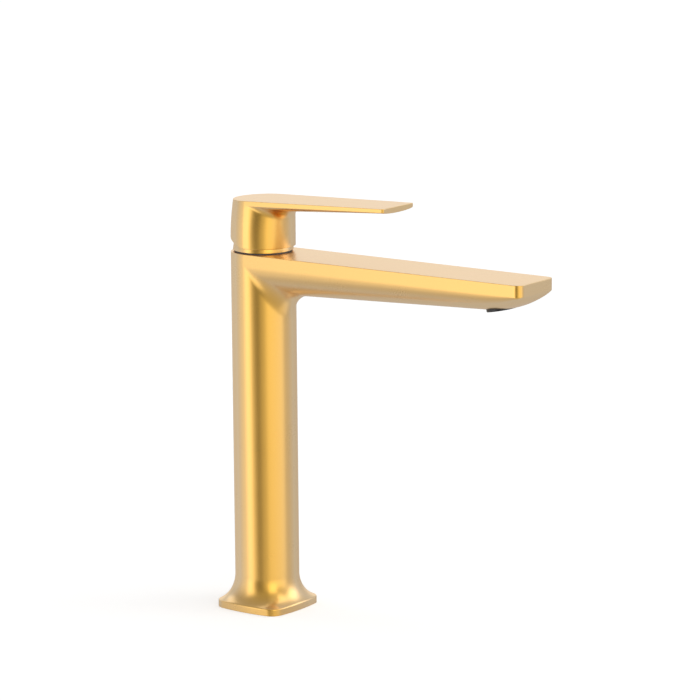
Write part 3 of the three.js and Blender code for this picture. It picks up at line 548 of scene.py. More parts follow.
@dataclass(frozen=True)
class Arm:
    """A flat-topped arm along +X: a band at each side and a half-elliptic belly below it.

    Every length runs straight from its root value at x = 0 to its tip value at the reach.
    """

    reach: float
    top: tuple[float, float]
    band: tuple[float, float]
    depth: tuple[float, float]
    half_width: tuple[float, float]
    top_half_width: tuple[float, float]
    corner_radius: float
    end_run: float
    belly_closes: bool
    edge_radius: float

    def along(self, ends: tuple[float, float], x: Values) -> Values:
        """The value at x on the straight line from root to tip."""
        return ends[0] + (ends[1] - ends[0]) * x / self.reach

    def half(self, ends: tuple[float, float], x: Values) -> Values:
        """Half width at x, less a quarter circle's setback in the last corner radius."""
        into = np.clip(x - (self.reach - self.corner_radius), 0, self.corner_radius)
        return self.along(ends, x) - self.corner_radius + np.sqrt(self.corner_radius ** 2 - into ** 2)

    def belly(self, x: Values) -> Values:
        """Depth below the band, where the tip is rounded by an ellipse's or a circle's quarter.

        A belly that closes follows the ellipse over the end run, and the other one the circle over its edge.

        Args:
            x: Places along the arm.

        Returns:
            The depths there.
        """
        depth = self.along(self.depth, x) - self.along(self.band, x)
        if not self.belly_closes:
            into = np.clip(x - (self.reach - self.edge_radius), 0, self.edge_radius)
            return depth - self.edge_radius + np.sqrt(self.edge_radius ** 2 - into ** 2)
        into = np.clip((x - (self.reach - self.end_run)) / self.end_run, 0, 1)
        return depth * np.sqrt(1 - into ** 2)

    def belly_point(self, x: Values, side: Values, inset: float = 0.0) -> np.ndarray:
        """Point at x and side angle s: y = w sin s, and z = top - band - depth cos s.

        Args:
            x: Places along the arm.
            side: Side angles, 0 straight down and a quarter turn at the left side.
            inset: How far the half width w and the depth are drawn in.

        Returns:
            The points, by place and side angle.
        """
        drop = self.along(self.band, x) + (self.belly(x) - inset) * np.cos(side)
        across = (self.half(self.half_width, x) - inset) * np.sin(side)
        return np.stack(np.broadcast_arrays(x, across, self.along(self.top, x) - drop), axis=-1)

    def belly_normal(self, x: Values, side: Values) -> np.ndarray:
        """Outward normal of the belly's cross section, from the ellipse's gradient.

        Args:
            x: Places along the arm.
            side: Side angles.

        Returns:
            Unit vectors square to X.
        """
        across = np.sin(side) / self.half(self.half_width, x)
        down = -np.cos(side) / np.maximum(self.belly(x), LEAST_DEPTH)
        length = np.hypot(across, down)
        return np.stack(np.broadcast_arrays(0 * length, across / length, down / length), axis=-1)

    def stations(self, start: np.ndarray, straight: int, end: int) -> np.ndarray:
        """Places along x from each start to the tip: even, then closer as the sine of even angles.

        Args:
            start: Where each column starts.
            straight: Steps up to the end run.
            end: Steps over the end run.

        Returns:
            The places, by row and column.
        """
        end_start = self.reach - self.end_run
        even = np.arange(straight)[:, None] / straight
        tail = end_start + self.end_run * np.sin(QUARTER * np.arange(end + 1) / end)
        return np.concatenate([start + (end_start - start) * even, np.repeat(tail[:, None], len(start), 1)])


@dataclass(frozen=True)
class Tower:
    """A round tower that grows into an arm, with the blend that a rolling ball leaves between them."""

    arm: Arm
    wall_radius: Callable[[Values, Values], Values]
    lower_rows: Callable[[np.ndarray], np.ndarray]
    blend_radius: float
    sides: int = 128
    rear: int = 120
    wall_steps: int = 3
    blend_steps: int = 16
    straight_steps: int = 12
    end_steps: int = 40
    halvings: int = 44

    def wall_point(self, azimuth: Values, z: Values) -> np.ndarray:
        """Point of the wall: (r cos a, r sin a, z) with the wall's radius r at that azimuth and height."""
        radius = self.wall_radius(azimuth, z)
        return np.stack(np.broadcast_arrays(radius * np.cos(azimuth), radius * np.sin(azimuth), z), axis=-1)

    def rolled(self, side: np.ndarray) -> tuple[np.ndarray, np.ndarray, np.ndarray]:
        """Where a ball touches both wall and belly, by halving the span of x for all side angles at once.

        Args:
            side: The side angles.

        Returns:
            The x of the belly's touching point, the ball's centre and its azimuth, by side angle.
        """
        def centre_at(x: np.ndarray) -> np.ndarray:
            """The centre of a ball that touches the belly at x."""
            return self.arm.belly_point(x, side) + self.blend_radius * self.arm.belly_normal(x, side)

        near = np.zeros_like(side)
        far = np.full_like(side, 2 * (self.wall_radius(0.0, self.arm.top[0]) + self.blend_radius))
        for _ in range(self.halvings):
            middle = (near + far) / 2
            centre = centre_at(middle)
            azimuth = np.arctan2(centre[:, 1], centre[:, 0])
            gap = np.hypot(centre[:, 0], centre[:, 1]) - self.blend_radius
            outside = gap >= self.wall_radius(azimuth, centre[:, 2])
            near, far = np.where(outside, near, middle), np.where(outside, middle, far)
        near[[0, -1]] = 0
        centre = centre_at(near)
        azimuth = np.arctan2(centre[:, 1], centre[:, 0])
        azimuth[[0, -1]] = side[[0, -1]]
        return near, centre, azimuth

    def blend_rows(self, side: np.ndarray, x: np.ndarray, centre: np.ndarray,
                   azimuth: np.ndarray) -> np.ndarray:
        """Arcs of the ball from the wall to the belly: directions swung evenly between the two normals.

        Args:
            side: The side angles.
            x: Where the ball touches the belly.
            centre: Its centres.
            azimuth: Their azimuths.

        Returns:
            Rows from the wall to the belly, a column for each side angle.
        """
        start = -self.wall_point(azimuth, centre[:, 2])
        start[:, 2] = 0
        start /= np.linalg.norm(start, axis=-1, keepdims=True)
        end = -self.arm.belly_normal(x, side)
        angle = np.arccos(np.clip((start * end).sum(-1), -1, 1))[None, :, None]
        share = np.linspace(0, 1, self.blend_steps + 1)[:, None, None]
        swing = np.sin((1 - share) * angle) * start + np.sin(share * angle) * end
        swing /= np.maximum(np.linalg.norm(swing, axis=-1, keepdims=True), LEAST_LENGTH)
        rows = centre + self.blend_radius * swing
        rows[0] = self.wall_point(azimuth, centre[:, 2])
        rows[-1] = self.arm.belly_point(x, side)
        rows[:, [0, -1]] = rows[-1, [0, -1]]
        return rows

    def rear_edges(self, behind: np.ndarray, root: np.ndarray) -> tuple[np.ndarray, np.ndarray]:
        """The edge of the top and the band's lower edge round the rear, both on the wall.

        Args:
            behind: Azimuths from the left side round the rear to the right side.
            root: The belly's first row, whose two ends the band meets.

        Returns:
            The points of the top's edge and of the band's.
        """
        arm = self.arm
        rear_x = self.wall_radius(behind, arm.top[0]) * np.cos(behind)
        top = self.wall_point(behind, arm.along(arm.top, rear_x))
        band = self.wall_point(behind, top[:, 2] - arm.band[0])
        top[[0, -1]] = [[0, arm.top_half_width[0], arm.top[0]], [0, -arm.top_half_width[0], arm.top[0]]]
        band[[0, -1]] = root[[-1, 0]]
        return top, band

    def crown(self, belly: np.ndarray, rear_top: np.ndarray, rear_band: np.ndarray) -> np.ndarray:
        """The band round the whole arm, from the belly's edge up, and the rounding of the top's edge.

        Args:
            belly: The belly's rows of points.
            rear_top: The top's edge round the rear.
            rear_band: The band's lower edge round the rear.

        Returns:
            Rows of points, the last of which is the edge of the flat top.
        """
        arm = self.arm
        edge = np.concatenate([belly[:-1, 0], belly[-1], belly[-2:0:-1, -1]])
        widened = arm.half(arm.top_half_width, edge[:, 0]) / arm.half(arm.half_width, edge[:, 0])
        edge_top = np.column_stack([edge[:, 0], edge[:, 1] * widened, arm.along(arm.top, edge[:, 0])])
        band = np.concatenate([edge, rear_band[:-1]])
        rim = np.concatenate([edge_top, rear_top[:-1]])
        below = rim + (band - rim) * (arm.edge_radius / (rim - band)[:, 2:])
        inside = drawn_in(rim, arm.edge_radius)
        inside[:, 2] = arm.along(arm.top, inside[:, 0])
        return np.concatenate([band[None], eased(below, rim, inside)])

    def skin(self, name: str) -> bpy.types.Object:
        """The whole outside as one closed mesh: wall, blend, belly, band and flat top.

        Args:
            name: The piece's name.

        Returns:
            The mesh object.
        """
        side = np.linspace(-QUARTER, QUARTER, self.sides + 1)
        x, centre, azimuth = self.rolled(side)
        blend = self.blend_rows(side, x, centre, azimuth)
        belly = self.arm.belly_point(self.arm.stations(x, self.straight_steps, self.end_steps), side)
        behind = np.linspace(QUARTER, 3 * QUARTER, self.rear + 1)
        rear_top, rear_band = self.rear_edges(behind, belly[0])

        azimuths = np.concatenate([azimuth, behind[1:-1]])
        wall_top = np.concatenate([blend[0], rear_band[1:-1]])
        lower = self.lower_rows(azimuths)
        share = np.linspace(0, 1, self.wall_steps + 1)[1:, None]
        start_z = lower[-1, :, 2]
        walls = self.wall_point(azimuths, start_z + (wall_top[:, 2] - start_z) * share)
        walls[-1] = wall_top
        crown = self.crown(belly, rear_top, rear_band)

        shell = Shell()
        shell.grid(np.concatenate([lower, walls]), closed=True)
        shell.grid(blend)
        shell.grid(belly)
        shell.grid(crown, closed=True)
        shell.cap(crown[-1])
        shell.cap(lower[0, ::-1])
        return shell.piece(name)


# Sub-assemblies


@dataclass(frozen=True)
class Outlet:
    """The aerator in its tilted frame at the spout's mouth, where z runs up from the underside."""

    reach: float = 202 * MM
    tilt: float = math.radians(11)
    radius: float = 10.1 * MM
    thread_radius: float = 9.4 * MM
    bore: float = 8.2 * MM
    lip_bore: float = 7.2 * MM
    lip_height: float = 0.8 * MM
    drop: float = 0.4 * MM
    flange_rise: float = 2.4 * MM
    rise: float = 8 * MM
    edge_radius: float = 0.15 * MM

    def place(self, mouth_z: float) -> Matrix:
        """The placing of the tilted axis, leaning forwards by the tilt."""
        return Matrix.Translation((self.reach, 0, mouth_z)) @ Matrix.Rotation(-self.tilt, 4, "Y")

    def build(self, mouth_z: float) -> None:
        """Turns the dark ring with its lip and its eased edge.

        Args:
            mouth_z: Height of the spout's underside there.
        """
        edge = eased(*(np.array([[self.radius - inwards, upwards - self.drop]])
                       for inwards, upwards in ((self.edge_radius, 0), (0, 0), (0, self.edge_radius))))
        housing = lathe("aerator_ring", [
            (self.lip_bore, -self.drop),
            *edge[:, 0].tolist(),
            (self.radius, self.flange_rise),
            (self.thread_radius, self.flange_rise),
            (self.thread_radius, self.rise),
            (self.bore, self.rise),
            (self.bore, self.lip_height - self.drop),
            (self.lip_bore, self.lip_height - self.drop),
            (self.lip_bore, -self.drop),
        ], WIDE_TURN, self.place(mouth_z))
        wear(smooth(housing), MixerBody.FIXED, Slot.BLACK, "aerator_housing")


@dataclass(frozen=True)
class Body:
    """The gold casting: flared square base, round column and flat spout."""

    height: float = 258 * MM
    column_radius: float = 23 * MM
    plate_half_side: float = 26.6 * MM
    plate_bulge: float = 2.6 * MM
    plate_corner_radius: float = 9.5 * MM
    plate_edge_height: float = 5.1 * MM
    flare_height: float = 23.85 * MM
    flare_ends: tuple[float, float] = (math.radians(58), math.radians(78))
    flare_steps: int = 28
    chamber_radius: float = 19 * MM
    hollow_radius: float = 17 * MM
    ledge_z: float = 196 * MM
    spout_reach: float = 231 * MM
    spout_tip_half_width: float = 21.2 * MM
    spout_band: float = 8 * MM
    spout_root_depth: float = 30.4 * MM
    spout_tip_depth: float = 20.8 * MM
    spout_end_run: float = 38 * MM
    spout_corner_radius: float = 5 * MM
    spout_blend_radius: float = 18.5 * MM
    spout_wall: float = 1.7 * MM
    cavity_start: float = 24.5 * MM
    cavity_end: float = 223 * MM
    tube_radius: float = 4 * MM
    tube_wall: float = 1 * MM
    tube_root: tuple[float, float] = (21.1 * MM, 243.5 * MM)
    tube_tip: tuple[float, float] = (194.2 * MM, 249.7 * MM)
    tube_insertion: float = 3.4 * MM
    tube_seal: float = 0.8 * MM
    seal_inner: float = 21.8 * MM
    seal_outer: float = 24.2 * MM
    seal_height: float = 1.4 * MM
    fit_gap: float = 0.3 * MM
    overrun: float = 5 * MM
    socket_gap: float = 4.8 * MM
    top_edge_radius: float = 0.45 * MM
    plate_top_edge: float = 0.8 * MM
    plate_foot_edge: float = 0.35 * MM
    cavity_sides: int = 48
    cavity_stations: int = 14

    def spout(self) -> Arm:
        """The spout's shape."""
        widths = (self.column_radius, self.spout_tip_half_width)
        return Arm(
            self.spout_reach, (self.height, self.height), (self.spout_band, self.spout_band),
            (self.spout_root_depth, self.spout_tip_depth), widths, widths,
            self.spout_corner_radius, self.spout_end_run, True, self.top_edge_radius)

    def plate_radius(self, azimuth: np.ndarray) -> np.ndarray:
        """Distance from the axis to the base's outline: four wide side arcs joined by small corner arcs.

        Args:
            azimuth: Angles round the axis.

        Returns:
            The distances at those angles.
        """
        half, bulge, corner = self.plate_half_side, self.plate_bulge, self.plate_corner_radius
        side_radius = (half ** 2 + bulge ** 2) / (2 * bulge)
        side_centre = half + bulge - side_radius
        reach = side_radius - corner
        corner_centre = (side_centre + math.sqrt(2 * reach ** 2 - side_centre ** 2)) / 2
        off_side = np.abs(azimuth - np.round(azimuth / QUARTER) * QUARTER)
        tangent = math.atan2(corner_centre, corner_centre - side_centre)
        joint = math.atan2(side_radius * math.sin(tangent), side_centre + side_radius * math.cos(tangent))
        across = side_centre * np.sin(off_side)
        on_side = side_centre * np.cos(off_side) + np.sqrt(side_radius ** 2 - across ** 2)
        ray = corner_centre * (np.cos(off_side) + np.sin(off_side))
        beside = corner_centre * (np.cos(off_side) - np.sin(off_side))
        on_corner = ray + np.sqrt(np.maximum(corner ** 2 - beside ** 2, 0))
        return np.where(off_side < joint, on_side, on_corner)

    def base_rows(self, azimuth: np.ndarray) -> np.ndarray:
        """The base's upright edge, then at each azimuth a hollow ellipse that ends upright on the column.

        The ellipse's points are r = column + a (1 - cos t) and z = flare height - b sin t, and t ends at an
        angle that grows with the spread, from the sides to the corners.

        Args:
            azimuth: Angles round the axis.

        Returns:
            Rows of points from the deck up to the flare's top.
        """
        outline = self.plate_radius(azimuth)
        spread = outline - self.column_radius
        end = np.interp(spread, (spread.min(), spread.max()), self.flare_ends)
        across = spread / (1 - np.cos(end))
        upwards = (self.flare_height - self.plate_edge_height) / np.sin(end)

        def at(inwards: float, z: float) -> np.ndarray:
            """Radius and height of the outline drawn inwards, at a height."""
            return np.stack([outline - inwards, np.full_like(outline, z)], axis=-1)

        share = np.linspace(1, 0, self.flare_steps + 1)[:, None]
        sweep = np.arccos(1 - (spread - self.plate_top_edge) / across) * share
        flare = np.stack([self.column_radius + across * (1 - np.cos(sweep)),
                          self.flare_height - upwards * np.sin(sweep)], axis=-1)
        foot, top = self.plate_foot_edge, self.plate_edge_height
        rows = np.concatenate([
            eased(at(foot, 0), at(0, 0), at(0, foot)),
            eased(at(0, top - self.plate_top_edge), at(0, top), flare[0]),
            flare[1:],
        ])
        radius, z = rows[..., 0], rows[..., 1]
        return np.stack([radius * np.cos(azimuth), radius * np.sin(azimuth), z], axis=-1)

    def cavity(self) -> bpy.types.Object:
        """The hollow of the spout: its section drawn in by the wall, from the chamber's wall to the tip.

        Returns:
            The closed cutting tool.
        """
        arm = self.spout()
        side = np.linspace(-QUARTER, QUARTER, self.cavity_sides + 1)
        end = np.linspace(arm.reach - arm.end_run, self.cavity_end, self.cavity_stations)
        x = np.concatenate([[self.cavity_start], end])[:, None]
        floor = arm.belly_point(x, side, self.spout_wall)
        roof = floor[:, [-1, 0]].copy()
        roof[:, :, 2] = self.height - self.spout_wall
        rows = np.concatenate([floor, roof], axis=1)
        shell = Shell()
        shell.grid(rows, closed=True)
        shell.cap(rows[-1])
        shell.cap(rows[0, ::-1])
        return shell.piece("cavity")

    def tube_tools(self) -> list[bpy.types.Object]:
        """The outlet tube's seat in the chamber's wall, its seal's groove and the way through.

        Returns:
            The cutting tools, along the tube's axis.
        """
        root = Vector((self.tube_root[0], 0, self.tube_root[1]))
        tip = Vector((self.tube_tip[0], 0, self.tube_tip[1]))
        place = axis_at(root, tip)
        seal_z = self.tube_insertion / 2
        groove = self.tube_seal / 2 + self.fit_gap
        seat = self.tube_radius + self.fit_gap
        bore = self.tube_radius - self.tube_wall
        deep = seat + self.tube_seal + self.fit_gap
        return [
            rod("seat", seat, -self.fit_gap, self.tube_insertion + self.overrun, TUBE_TURN, place),
            rod("groove", deep, seal_z - groove, seal_z + groove, TUBE_TURN, place),
            rod("way", bore, -self.tube_insertion, self.tube_insertion, TUBE_TURN, place),
        ]

    def build(self, outlet: Outlet) -> float:
        """Makes the casting with its chamber, hollow, seal groove, spout hollow and outlet hole.

        Args:
            outlet: The aerator, which gives the outlet hole.

        Returns:
            The height of the spout's underside at the outlet.
        """
        spout = self.spout()
        mouth_z = float(spout.belly_point(outlet.reach, 0.0)[2])
        tower = Tower(spout, lambda azimuth, z: self.column_radius + 0 * azimuth,
                      self.base_rows, self.spout_blend_radius)
        casting = tower.skin("gold_body")
        gap, overrun = self.fit_gap, self.overrun
        carve(casting, [
            rod("chamber", self.chamber_radius, self.ledge_z, self.height + overrun, WIDE_TURN),
            rod("hollow", self.hollow_radius, -overrun, self.ledge_z + overrun, WIDE_TURN),
            ring("groove", self.seal_inner - gap, self.seal_outer + gap, -overrun, self.seal_height + gap),
            self.cavity(),
            *self.tube_tools(),
            rod("mouth", outlet.radius + gap, -overrun, self.socket_gap, WIDE_TURN, outlet.place(mouth_z)),
        ])
        wear(smooth(casting), MixerBody.FIXED, Slot.GOLD, "body")
        self.build_seal()
        return mouth_z

    def build_seal(self) -> None:
        """Turns the flat ring seal under the base."""
        seal = ring("deck_seal", self.seal_inner, self.seal_outer, 0, self.seal_height)
        wear(smooth(seal), MixerBody.FIXED, Slot.RUBBER, "base_seal")


@dataclass(frozen=True)
class Handle:
    """The hub with its paddle lever, the dome under it and the plug over its screw."""

    pivot_z: float = 258 * MM
    height: float = 37.7 * MM
    hub_radius: float = 23 * MM
    top_radius: float = 20.8 * MM
    lean_start: float = 8 * MM
    lean_limit: float = 0.8
    rim_height: float = 4 * MM
    rim_edge: float = 0.4 * MM
    cut_start: float = -2.5 * MM
    cut_angle: float = math.radians(20.3)
    reach: float = 117.3 * MM
    tip_half_width: float = 18.2 * MM
    tip_rise: float = 3.8 * MM
    depth: tuple[float, float] = (8.9 * MM, 4.2 * MM)
    band: tuple[float, float] = (3.3 * MM, 2.5 * MM)
    corner_radius: float = 1.5 * MM
    blend_radius: float = 7 * MM
    wall: float = 3.6 * MM
    hollow_radius: float = 15.4 * MM
    dome_radius: float = 21.5 * MM
    dome_wall: float = 1.3 * MM
    dome_foot_radius: float = 20 * MM
    dome_foot_height: float = 1.25 * MM
    # The black rubber ring under the dome's foot sits set back under its overhang; its dark also stands in as
    # painted shade for the shadow gap there
    seal_inner: float = 20.3 * MM
    seal_outer: float = 20.6 * MM
    seal_height: float = 0.7 * MM
    dome_mouth_radius: float = 15.2 * MM
    dome_thread_radius: float = 19 * MM
    dome_thread_height: float = 4.5 * MM
    boss_radius: float = 8 * MM
    boss_start: float = 8 * MM
    socket_half: float = 4.3 * MM
    socket_top: float = 26.8 * MM
    screw_rise: float = 23.5 * MM
    screw_hole: float = 2.8 * MM
    web_side: float = 4.6 * MM
    plug_radius: float = 3.2 * MM
    plug_length: float = 2.8 * MM
    plug_sink: float = 0.2 * MM
    running_gap: float = 0.4 * MM
    fit_gap: float = 0.3 * MM
    overrun: float = 5 * MM
    edge_radius: float = 0.35 * MM
    plug_edge: float = 0.3 * MM
    ball_steps: int = 48
    dome_outer_steps: int = 23
    dome_inner_steps: int = 19

    def wall_radius(self, azimuth: Values, z: Values) -> Values:
        """The hub's radius: less by the square of the risen share, fully at the sides and rear, not ahead.

        Args:
            azimuth: Angles round the axis.
            z: Heights.

        Returns:
            The radii there.
        """
        risen = np.maximum(z - self.pivot_z - self.lean_start, 0) / (self.height - self.lean_start)
        ahead = np.clip(np.cos(azimuth) / self.lean_limit, 0, 1)
        return self.hub_radius - (self.hub_radius - self.top_radius) * risen ** 2 * (1 - ahead ** 2)

    def lever(self) -> Arm:
        """The lever's shape, which starts as wide as the hub.

        Returns:
            The arm, with its top rising to the tip.
        """
        top = self.pivot_z + self.height
        root = float(self.wall_radius(QUARTER, top - self.band[0]))
        top_root = float(self.wall_radius(QUARTER, top))
        return Arm(
            self.reach, (top, top + self.tip_rise), self.band, self.depth, (root, self.tip_half_width),
            (top_root, self.tip_half_width), self.corner_radius, self.corner_radius, False,
            self.edge_radius)

    def rim_rows(self, azimuth: np.ndarray) -> np.ndarray:
        """The hub's rim, flat in front and rising to the rear, and the rounding of its outer edge.

        Args:
            azimuth: Angles round the axis.

        Returns:
            Rows from the rim's inside, over its flat and up its outer edge.
        """
        rim = self.hub_radius - self.rim_edge
        edge = eased(np.array([[rim, 0]]), np.array([[self.hub_radius, 0]]),
                     np.array([[self.hub_radius, self.rim_edge]]))[:, 0]
        radius = np.concatenate([[rim - self.wall], edge[:, 0]])[:, None]
        rise = np.concatenate([[0], edge[:, 1]])[:, None]
        x = radius * np.cos(azimuth)
        slant = np.maximum(self.cut_start - x, 0) * math.tan(self.cut_angle)
        z = self.pivot_z + self.rim_height + slant + rise
        return np.stack([x, radius * np.sin(azimuth), z], axis=-1)

    def hollow_tools(self) -> list[bpy.types.Object]:
        """The hub's hollow in two tools, with a boss for the stem and a web for the screw left standing.

        Returns:
            The ball that clears the dome, and the wider hollow above it.
        """
        clearance = self.dome_radius + self.running_gap
        angle = np.linspace(-QUARTER, QUARTER, self.ball_steps + 1)
        arc = np.column_stack([clearance * np.cos(angle), self.pivot_z + clearance * np.sin(angle)])
        arc[[0, -1], 0] = 0
        boss_z = self.pivot_z + self.boss_start
        ceiling = self.pivot_z + self.height - self.wall - self.band[0]
        web_z = self.pivot_z + self.screw_rise - self.web_side
        above = ceiling + self.overrun
        ball = carve(lathe("ball", arc), [rod("boss", self.boss_radius, boss_z, above)])
        upper = carve(rod("upper", self.hollow_radius, boss_z, ceiling), [
            rod("boss", self.boss_radius, boss_z - self.overrun, above),
            box("web", (-self.hub_radius, -self.web_side, web_z), (0, self.web_side, above)),
        ])
        return [ball, upper]

    def rod_along_x(self, name: str, radius: float, start: float, end: float,
                    edge: float = 0.0) -> bpy.types.Object:
        """A cylinder at the screw's height between two places along X.

        Args:
            name: The piece's name.
            radius: Its radius.
            start: x of its first end.
            end: x of its other end.
            edge: Width of the rounding at the first end, if it has one.

        Returns:
            The closed mesh object.
        """
        z = self.pivot_z + self.screw_rise
        place = axis_at(Vector((start, 0, z)), Vector((end, 0, z)))
        if not edge:
            return rod(name, radius, 0, end - start, PLUG_TURN, place)
        corner = np.array([[radius, 0]])
        face = eased(corner - [edge, 0], corner, corner + [0, edge])[:, 0].tolist()
        return lathe(name, [(0, 0), *face, (radius, end - start), (0, end - start)], PLUG_TURN, place)

    def build(self) -> None:
        """Makes the handle, the dome and the plug."""
        tower = Tower(
            self.lever(), self.wall_radius, self.rim_rows, self.blend_radius, wall_steps=14,
            blend_steps=12, straight_steps=14, end_steps=14)
        handle = tower.skin("gold_handle")
        plug_face = -float(self.wall_radius(math.pi, self.pivot_z + self.screw_rise)) + self.plug_sink
        plug_seat = plug_face + self.plug_length + self.fit_gap
        socket_bottom = self.pivot_z + self.boss_start - self.overrun
        half, plug_way = self.socket_half, self.plug_radius + self.fit_gap
        carve(handle, [
            *self.hollow_tools(),
            box("socket", (-half, -half, socket_bottom), (half, half, self.pivot_z + self.socket_top)),
            self.rod_along_x("screw_way", self.screw_hole, plug_face, 0),
            self.rod_along_x("plug_way", plug_way, plug_face - self.overrun, plug_seat),
        ])
        wear(smooth(handle), MixerBody.LEVER, Slot.GOLD, "handle")
        plug = self.rod_along_x("index_cap", self.plug_radius, plug_face, plug_face + self.plug_length,
                                self.plug_edge)
        wear(smooth(plug), MixerBody.LEVER, Slot.GREY, "index_plug")
        self.build_dome()

    def build_dome(self) -> None:
        """Turns the dome, a shell up to its mouth with a thread bore inside, and the black rubber ring round
        its foot, whose dark also stands in as painted shade for the shadow gap under the dome.
        """
        inner = self.dome_radius - self.dome_wall
        foot = math.asin(self.dome_foot_height / self.dome_radius)
        outside = np.linspace(foot, math.acos(self.dome_mouth_radius / self.dome_radius),
                              self.dome_outer_steps + 1)
        inside = np.linspace(math.acos(self.dome_mouth_radius / inner),
                             math.asin(self.dome_thread_height / inner), self.dome_inner_steps + 1)
        arcs = [(radius * np.cos(angle), self.pivot_z + radius * np.sin(angle))
                for radius, angles in ((self.dome_radius, outside), (inner, inside)) for angle in angles]
        dome = lathe("gold_dome", [
            (self.dome_thread_radius, self.pivot_z),
            (self.dome_foot_radius, self.pivot_z),
            (self.dome_foot_radius, self.pivot_z + self.dome_foot_height),
            *arcs,
            (self.dome_thread_radius, self.pivot_z + self.dome_thread_height),
            (self.dome_thread_radius, self.pivot_z),
        ], WIDE_TURN)
        wear(smooth(dome), MixerBody.FIXED, Slot.GOLD, "dome_cover")
        # A black ring set back under the dome's foot: a seal, whose dark also stands in as painted shade for
        # the shadow gap between dome and body
        seal = ring("dome_shade_ring", self.seal_inner, self.seal_outer, self.pivot_z,
                    self.pivot_z + self.seal_height)
        wear(smooth(seal), MixerBody.FIXED, Slot.RUBBER, "dome_seal")


@dataclass(frozen=True)
class Innards:
    """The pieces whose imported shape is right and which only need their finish."""

    replaced: tuple[str, ...] = (
        "body", "base_seal", "handle", "index_plug", "dome_cover", "dome_seal", "aerator_housing")

    def dress(self, nodes: dict[str, bpy.types.Object], record: dict[str, Any]) -> None:
        """Puts each remaining node's finish in its material slots, by the record's slot for it.

        Args:
            nodes: The frame's mesh objects by node name.
            record: The part's record.
        """
        for part in record["subparts"]:
            name = part["node"]
            if name in self.replaced:
                continue
            made = FINISHES[Slot(part["material_slot"])].material()
            mesh = nodes[name].data
            mesh.materials.clear()
            mesh.materials.append(made)
            LOG.info("%s: %s", name, made.name)


# Studio


@dataclass(frozen=True)
class Glow:
    """A soft-edged panel of the studio's surround, in degrees; azimuth 0 is towards the camera."""

    azimuth: tuple[float, float]
    elevation: tuple[float, float]
    level: float
    softness: float = 5.0


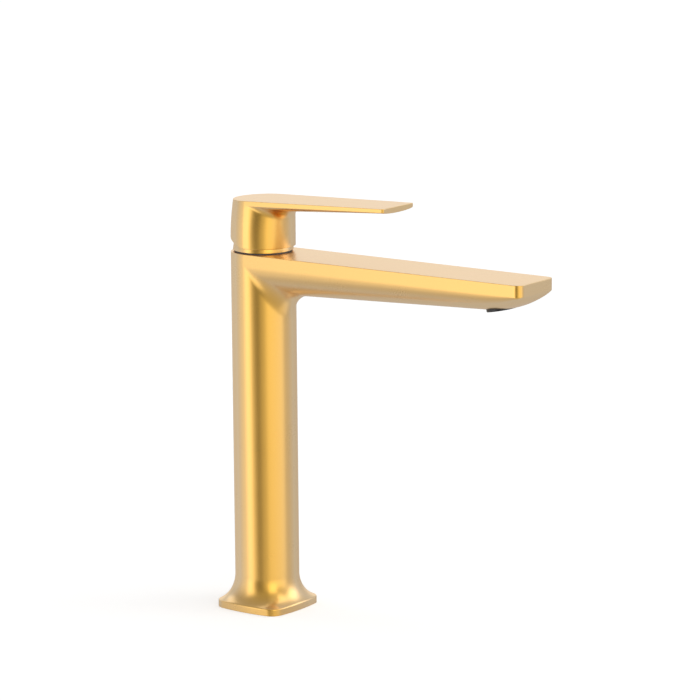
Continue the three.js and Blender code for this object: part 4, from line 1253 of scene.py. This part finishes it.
@dataclass(frozen=True)
class Studio:
    """A pale floor, a surround of soft panels and the camera.

    Angles are in degrees. The camera's azimuth runs from -Y towards +X. Mirrored rays see white further round
    than the azimuth of behind, between the elevations of above, and each of these ends in its softness. They
    see a share of the floor within the first length of floor_near, and nothing of it past the second.
    """

    azimuth: float = 36.311
    elevation: float = 11.108
    roll: float = -0.442
    distance: float = 2485 * MM
    aim: tuple[float, float] = (60.63 * MM, 185.72 * MM)
    lens: float = 180.0
    sensor: float = 36.0
    clip: tuple[float, float] = (0.05, 100.0)
    floor_size: float = 40.0
    floor_grey: float = 0.8
    floor_glow: float = 0.46
    floor_near: tuple[float, float] = (25 * MM, 90 * MM)
    floor_mirrored: float = 0.5
    surround: float = 0.58
    behind: tuple[float, float] = (150.0, 10.0)
    above: tuple[float, float, float] = (0.0, 30.0, 6.0)
    glows: tuple[Glow, ...] = (
        Glow((-200, 200), (4, 120), 0.6, 8.0),
        Glow((-130, -76), (48, 85), 1.2, 9.0),
        Glow((-162, -96), (-30, 4), 0.68, 8.0),
        Glow((-97, -68), (-34, 8), 0.88, 7.0),
        Glow((-110, 4), (18, 78), 0.42, 8.0),
        Glow((-46, 4), (-20, 22), 0.63, 7.0),
        Glow((-42, -14), (-20, 22), 0.22, 6.0),
        Glow((-72, -48), (-18, 20), 1.74, 4.0),
        Glow((-61, -34), (-30, -15), 1.5, 5.0),
        Glow((6, 72), (-17, 9), 1.25, 6.0),
        Glow((38, 84), (-75, -24), 0.88, 8.0),
        Glow((4, 37), (0, 33), 1.78, 6.0),
        Glow((80, 111), (3, 29), 2.05, 7.0),
        Glow((50, 94), (29, 75), 1.6, 8.0),
        Glow((-134, -106), (26, 52), 1.2, 6.0),
    )

    def axes(self) -> tuple[Vector, Vector, Vector]:
        """The camera's right, up and backward directions before its roll.

        Returns:
            The three unit vectors, in that order.
        """
        turn, rise = math.radians(self.azimuth), math.radians(self.elevation)
        back = Vector((math.sin(turn) * math.cos(rise), -math.cos(turn) * math.cos(rise), math.sin(rise)))
        right = Vector((math.cos(turn), math.sin(turn), 0))
        return right, back.cross(right), back

    def camera(self) -> None:
        """Stands the camera at the photograph's viewing angle."""
        right, up, back = self.axes()
        roll = math.radians(self.roll)
        target = right * self.aim[0] + Vector((0, 0, self.aim[1]))
        columns = (right * math.cos(roll) + up * math.sin(roll),
                   up * math.cos(roll) - right * math.sin(roll), back)
        lens = bpy.data.cameras.new("camera")
        lens.lens, lens.sensor_width = self.lens, self.sensor
        lens.clip_start, lens.clip_end = self.clip
        made = bpy.data.objects.new("camera", lens)
        made.matrix_world = Matrix.Translation(target + back * self.distance) @ Matrix(
            columns).transposed().to_4x4()
        bpy.context.scene.collection.objects.link(made)
        bpy.context.scene.camera = made

    def world(self) -> None:
        """Lights the scene by soft panels on an even surround, which the camera itself sees as white."""
        world = bpy.data.worlds.new("surround")
        bpy.context.scene.world = world
        world.use_nodes = True
        graph = Graph(world.node_tree)
        right, _, back = self.axes()
        ahead = Vector((back.x, back.y, 0)).normalized()
        way = graph.node("ShaderNodeTexCoord", None, None, "Generated")

        def part(axis: Vector) -> Wire:
            """The ray's share along an axis."""
            return graph.node("ShaderNodeVectorMath", {"operation": "DOT_PRODUCT"},
                              {0: way, 1: tuple(axis)}, "Value")

        degrees = 180 / math.pi
        azimuth = graph.node("ShaderNodeMath", {"operation": "ARCTAN2"},
                             {0: part(right), 1: part(ahead)}) * degrees
        elevation = graph.node("ShaderNodeMath", {"operation": "ARCSINE"},
                               {0: part(Vector((0, 0, 1)))}) * degrees
        level: Wire | float = self.surround
        for glow in self.glows:
            mask = (graph.window(azimuth, *glow.azimuth, glow.softness)
                    * graph.window(elevation, *glow.elevation, glow.softness))
            level = level + mask * (glow.level - level)
        camera_ray, glossy_ray = graph.ray("Is Camera Ray"), graph.ray("Is Glossy Ray")
        through_ray = graph.ray("Is Transmission Ray")
        side, softness = self.behind
        backdrop = (1 - graph.window(azimuth, -side, side, softness)) * graph.window(elevation, *self.above)
        white = camera_ray + (glossy_ray + through_ray) * backdrop
        strength = level + white * (1 - level)
        light = graph.node("ShaderNodeBackground", None, {"Color": (1, 1, 1, 1), "Strength": strength})
        graph.node("ShaderNodeOutputWorld", None, {"Surface": light})

    def floor(self) -> None:
        """Lays a pale floor that keeps the object's shadow, and that metal close to it mirrors."""
        half = self.floor_size / 2
        mesh = bpy.data.meshes.new("floor")
        mesh.from_pydata([(-half, -half, 0), (half, -half, 0), (half, half, 0), (-half, half, 0)],
                         [], [(0, 1, 2, 3)])
        made = bpy.data.objects.new("floor", mesh)
        bpy.context.scene.collection.objects.link(made)
        material = bpy.data.materials.new("pale_floor")
        material.use_nodes = True
        graph = Graph(material.node_tree)
        grey = self.floor_grey
        matte = graph.node("ShaderNodeBsdfDiffuse", None, {"Color": (grey, grey, grey, 1)})
        seen = graph.ray("Is Camera Ray")
        lift = graph.node("ShaderNodeEmission", None, {"Strength": seen * self.floor_glow})
        both = graph.node("ShaderNodeAddShader", None, {0: matte, 1: lift})
        mirrored = graph.ray("Is Glossy Ray")
        beyond = graph.rise(graph.ray("Ray Length"), *self.floor_near)
        clear = graph.node("ShaderNodeBsdfTransparent")
        unseen = mirrored * (1 - self.floor_mirrored * (1 - beyond))
        laid = graph.node("ShaderNodeMixShader", None, {0: unseen, 1: both, 2: clear})
        graph.node("ShaderNodeOutputMaterial", None, {"Surface": laid})
        mesh.materials.append(material)

    def build(self) -> None:
        """Sets the camera, the surround, the floor and the plain view transform."""
        self.camera()
        self.world()
        self.floor()
        bpy.context.scene.view_settings.view_transform = "Standard"


def main() -> None:
    """Builds the visible pieces, dresses the rest, and sets the studio."""
    logging.basicConfig(level=logging.INFO, format="%(message)s")
    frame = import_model()
    outlet = Outlet()
    mouth_z = Body().build(outlet)
    outlet.build(mouth_z)
    Handle().build()
    Innards().dress(frame["nodes"], frame["record"])
    Studio().build()


if __name__ == "__main__":
    main()
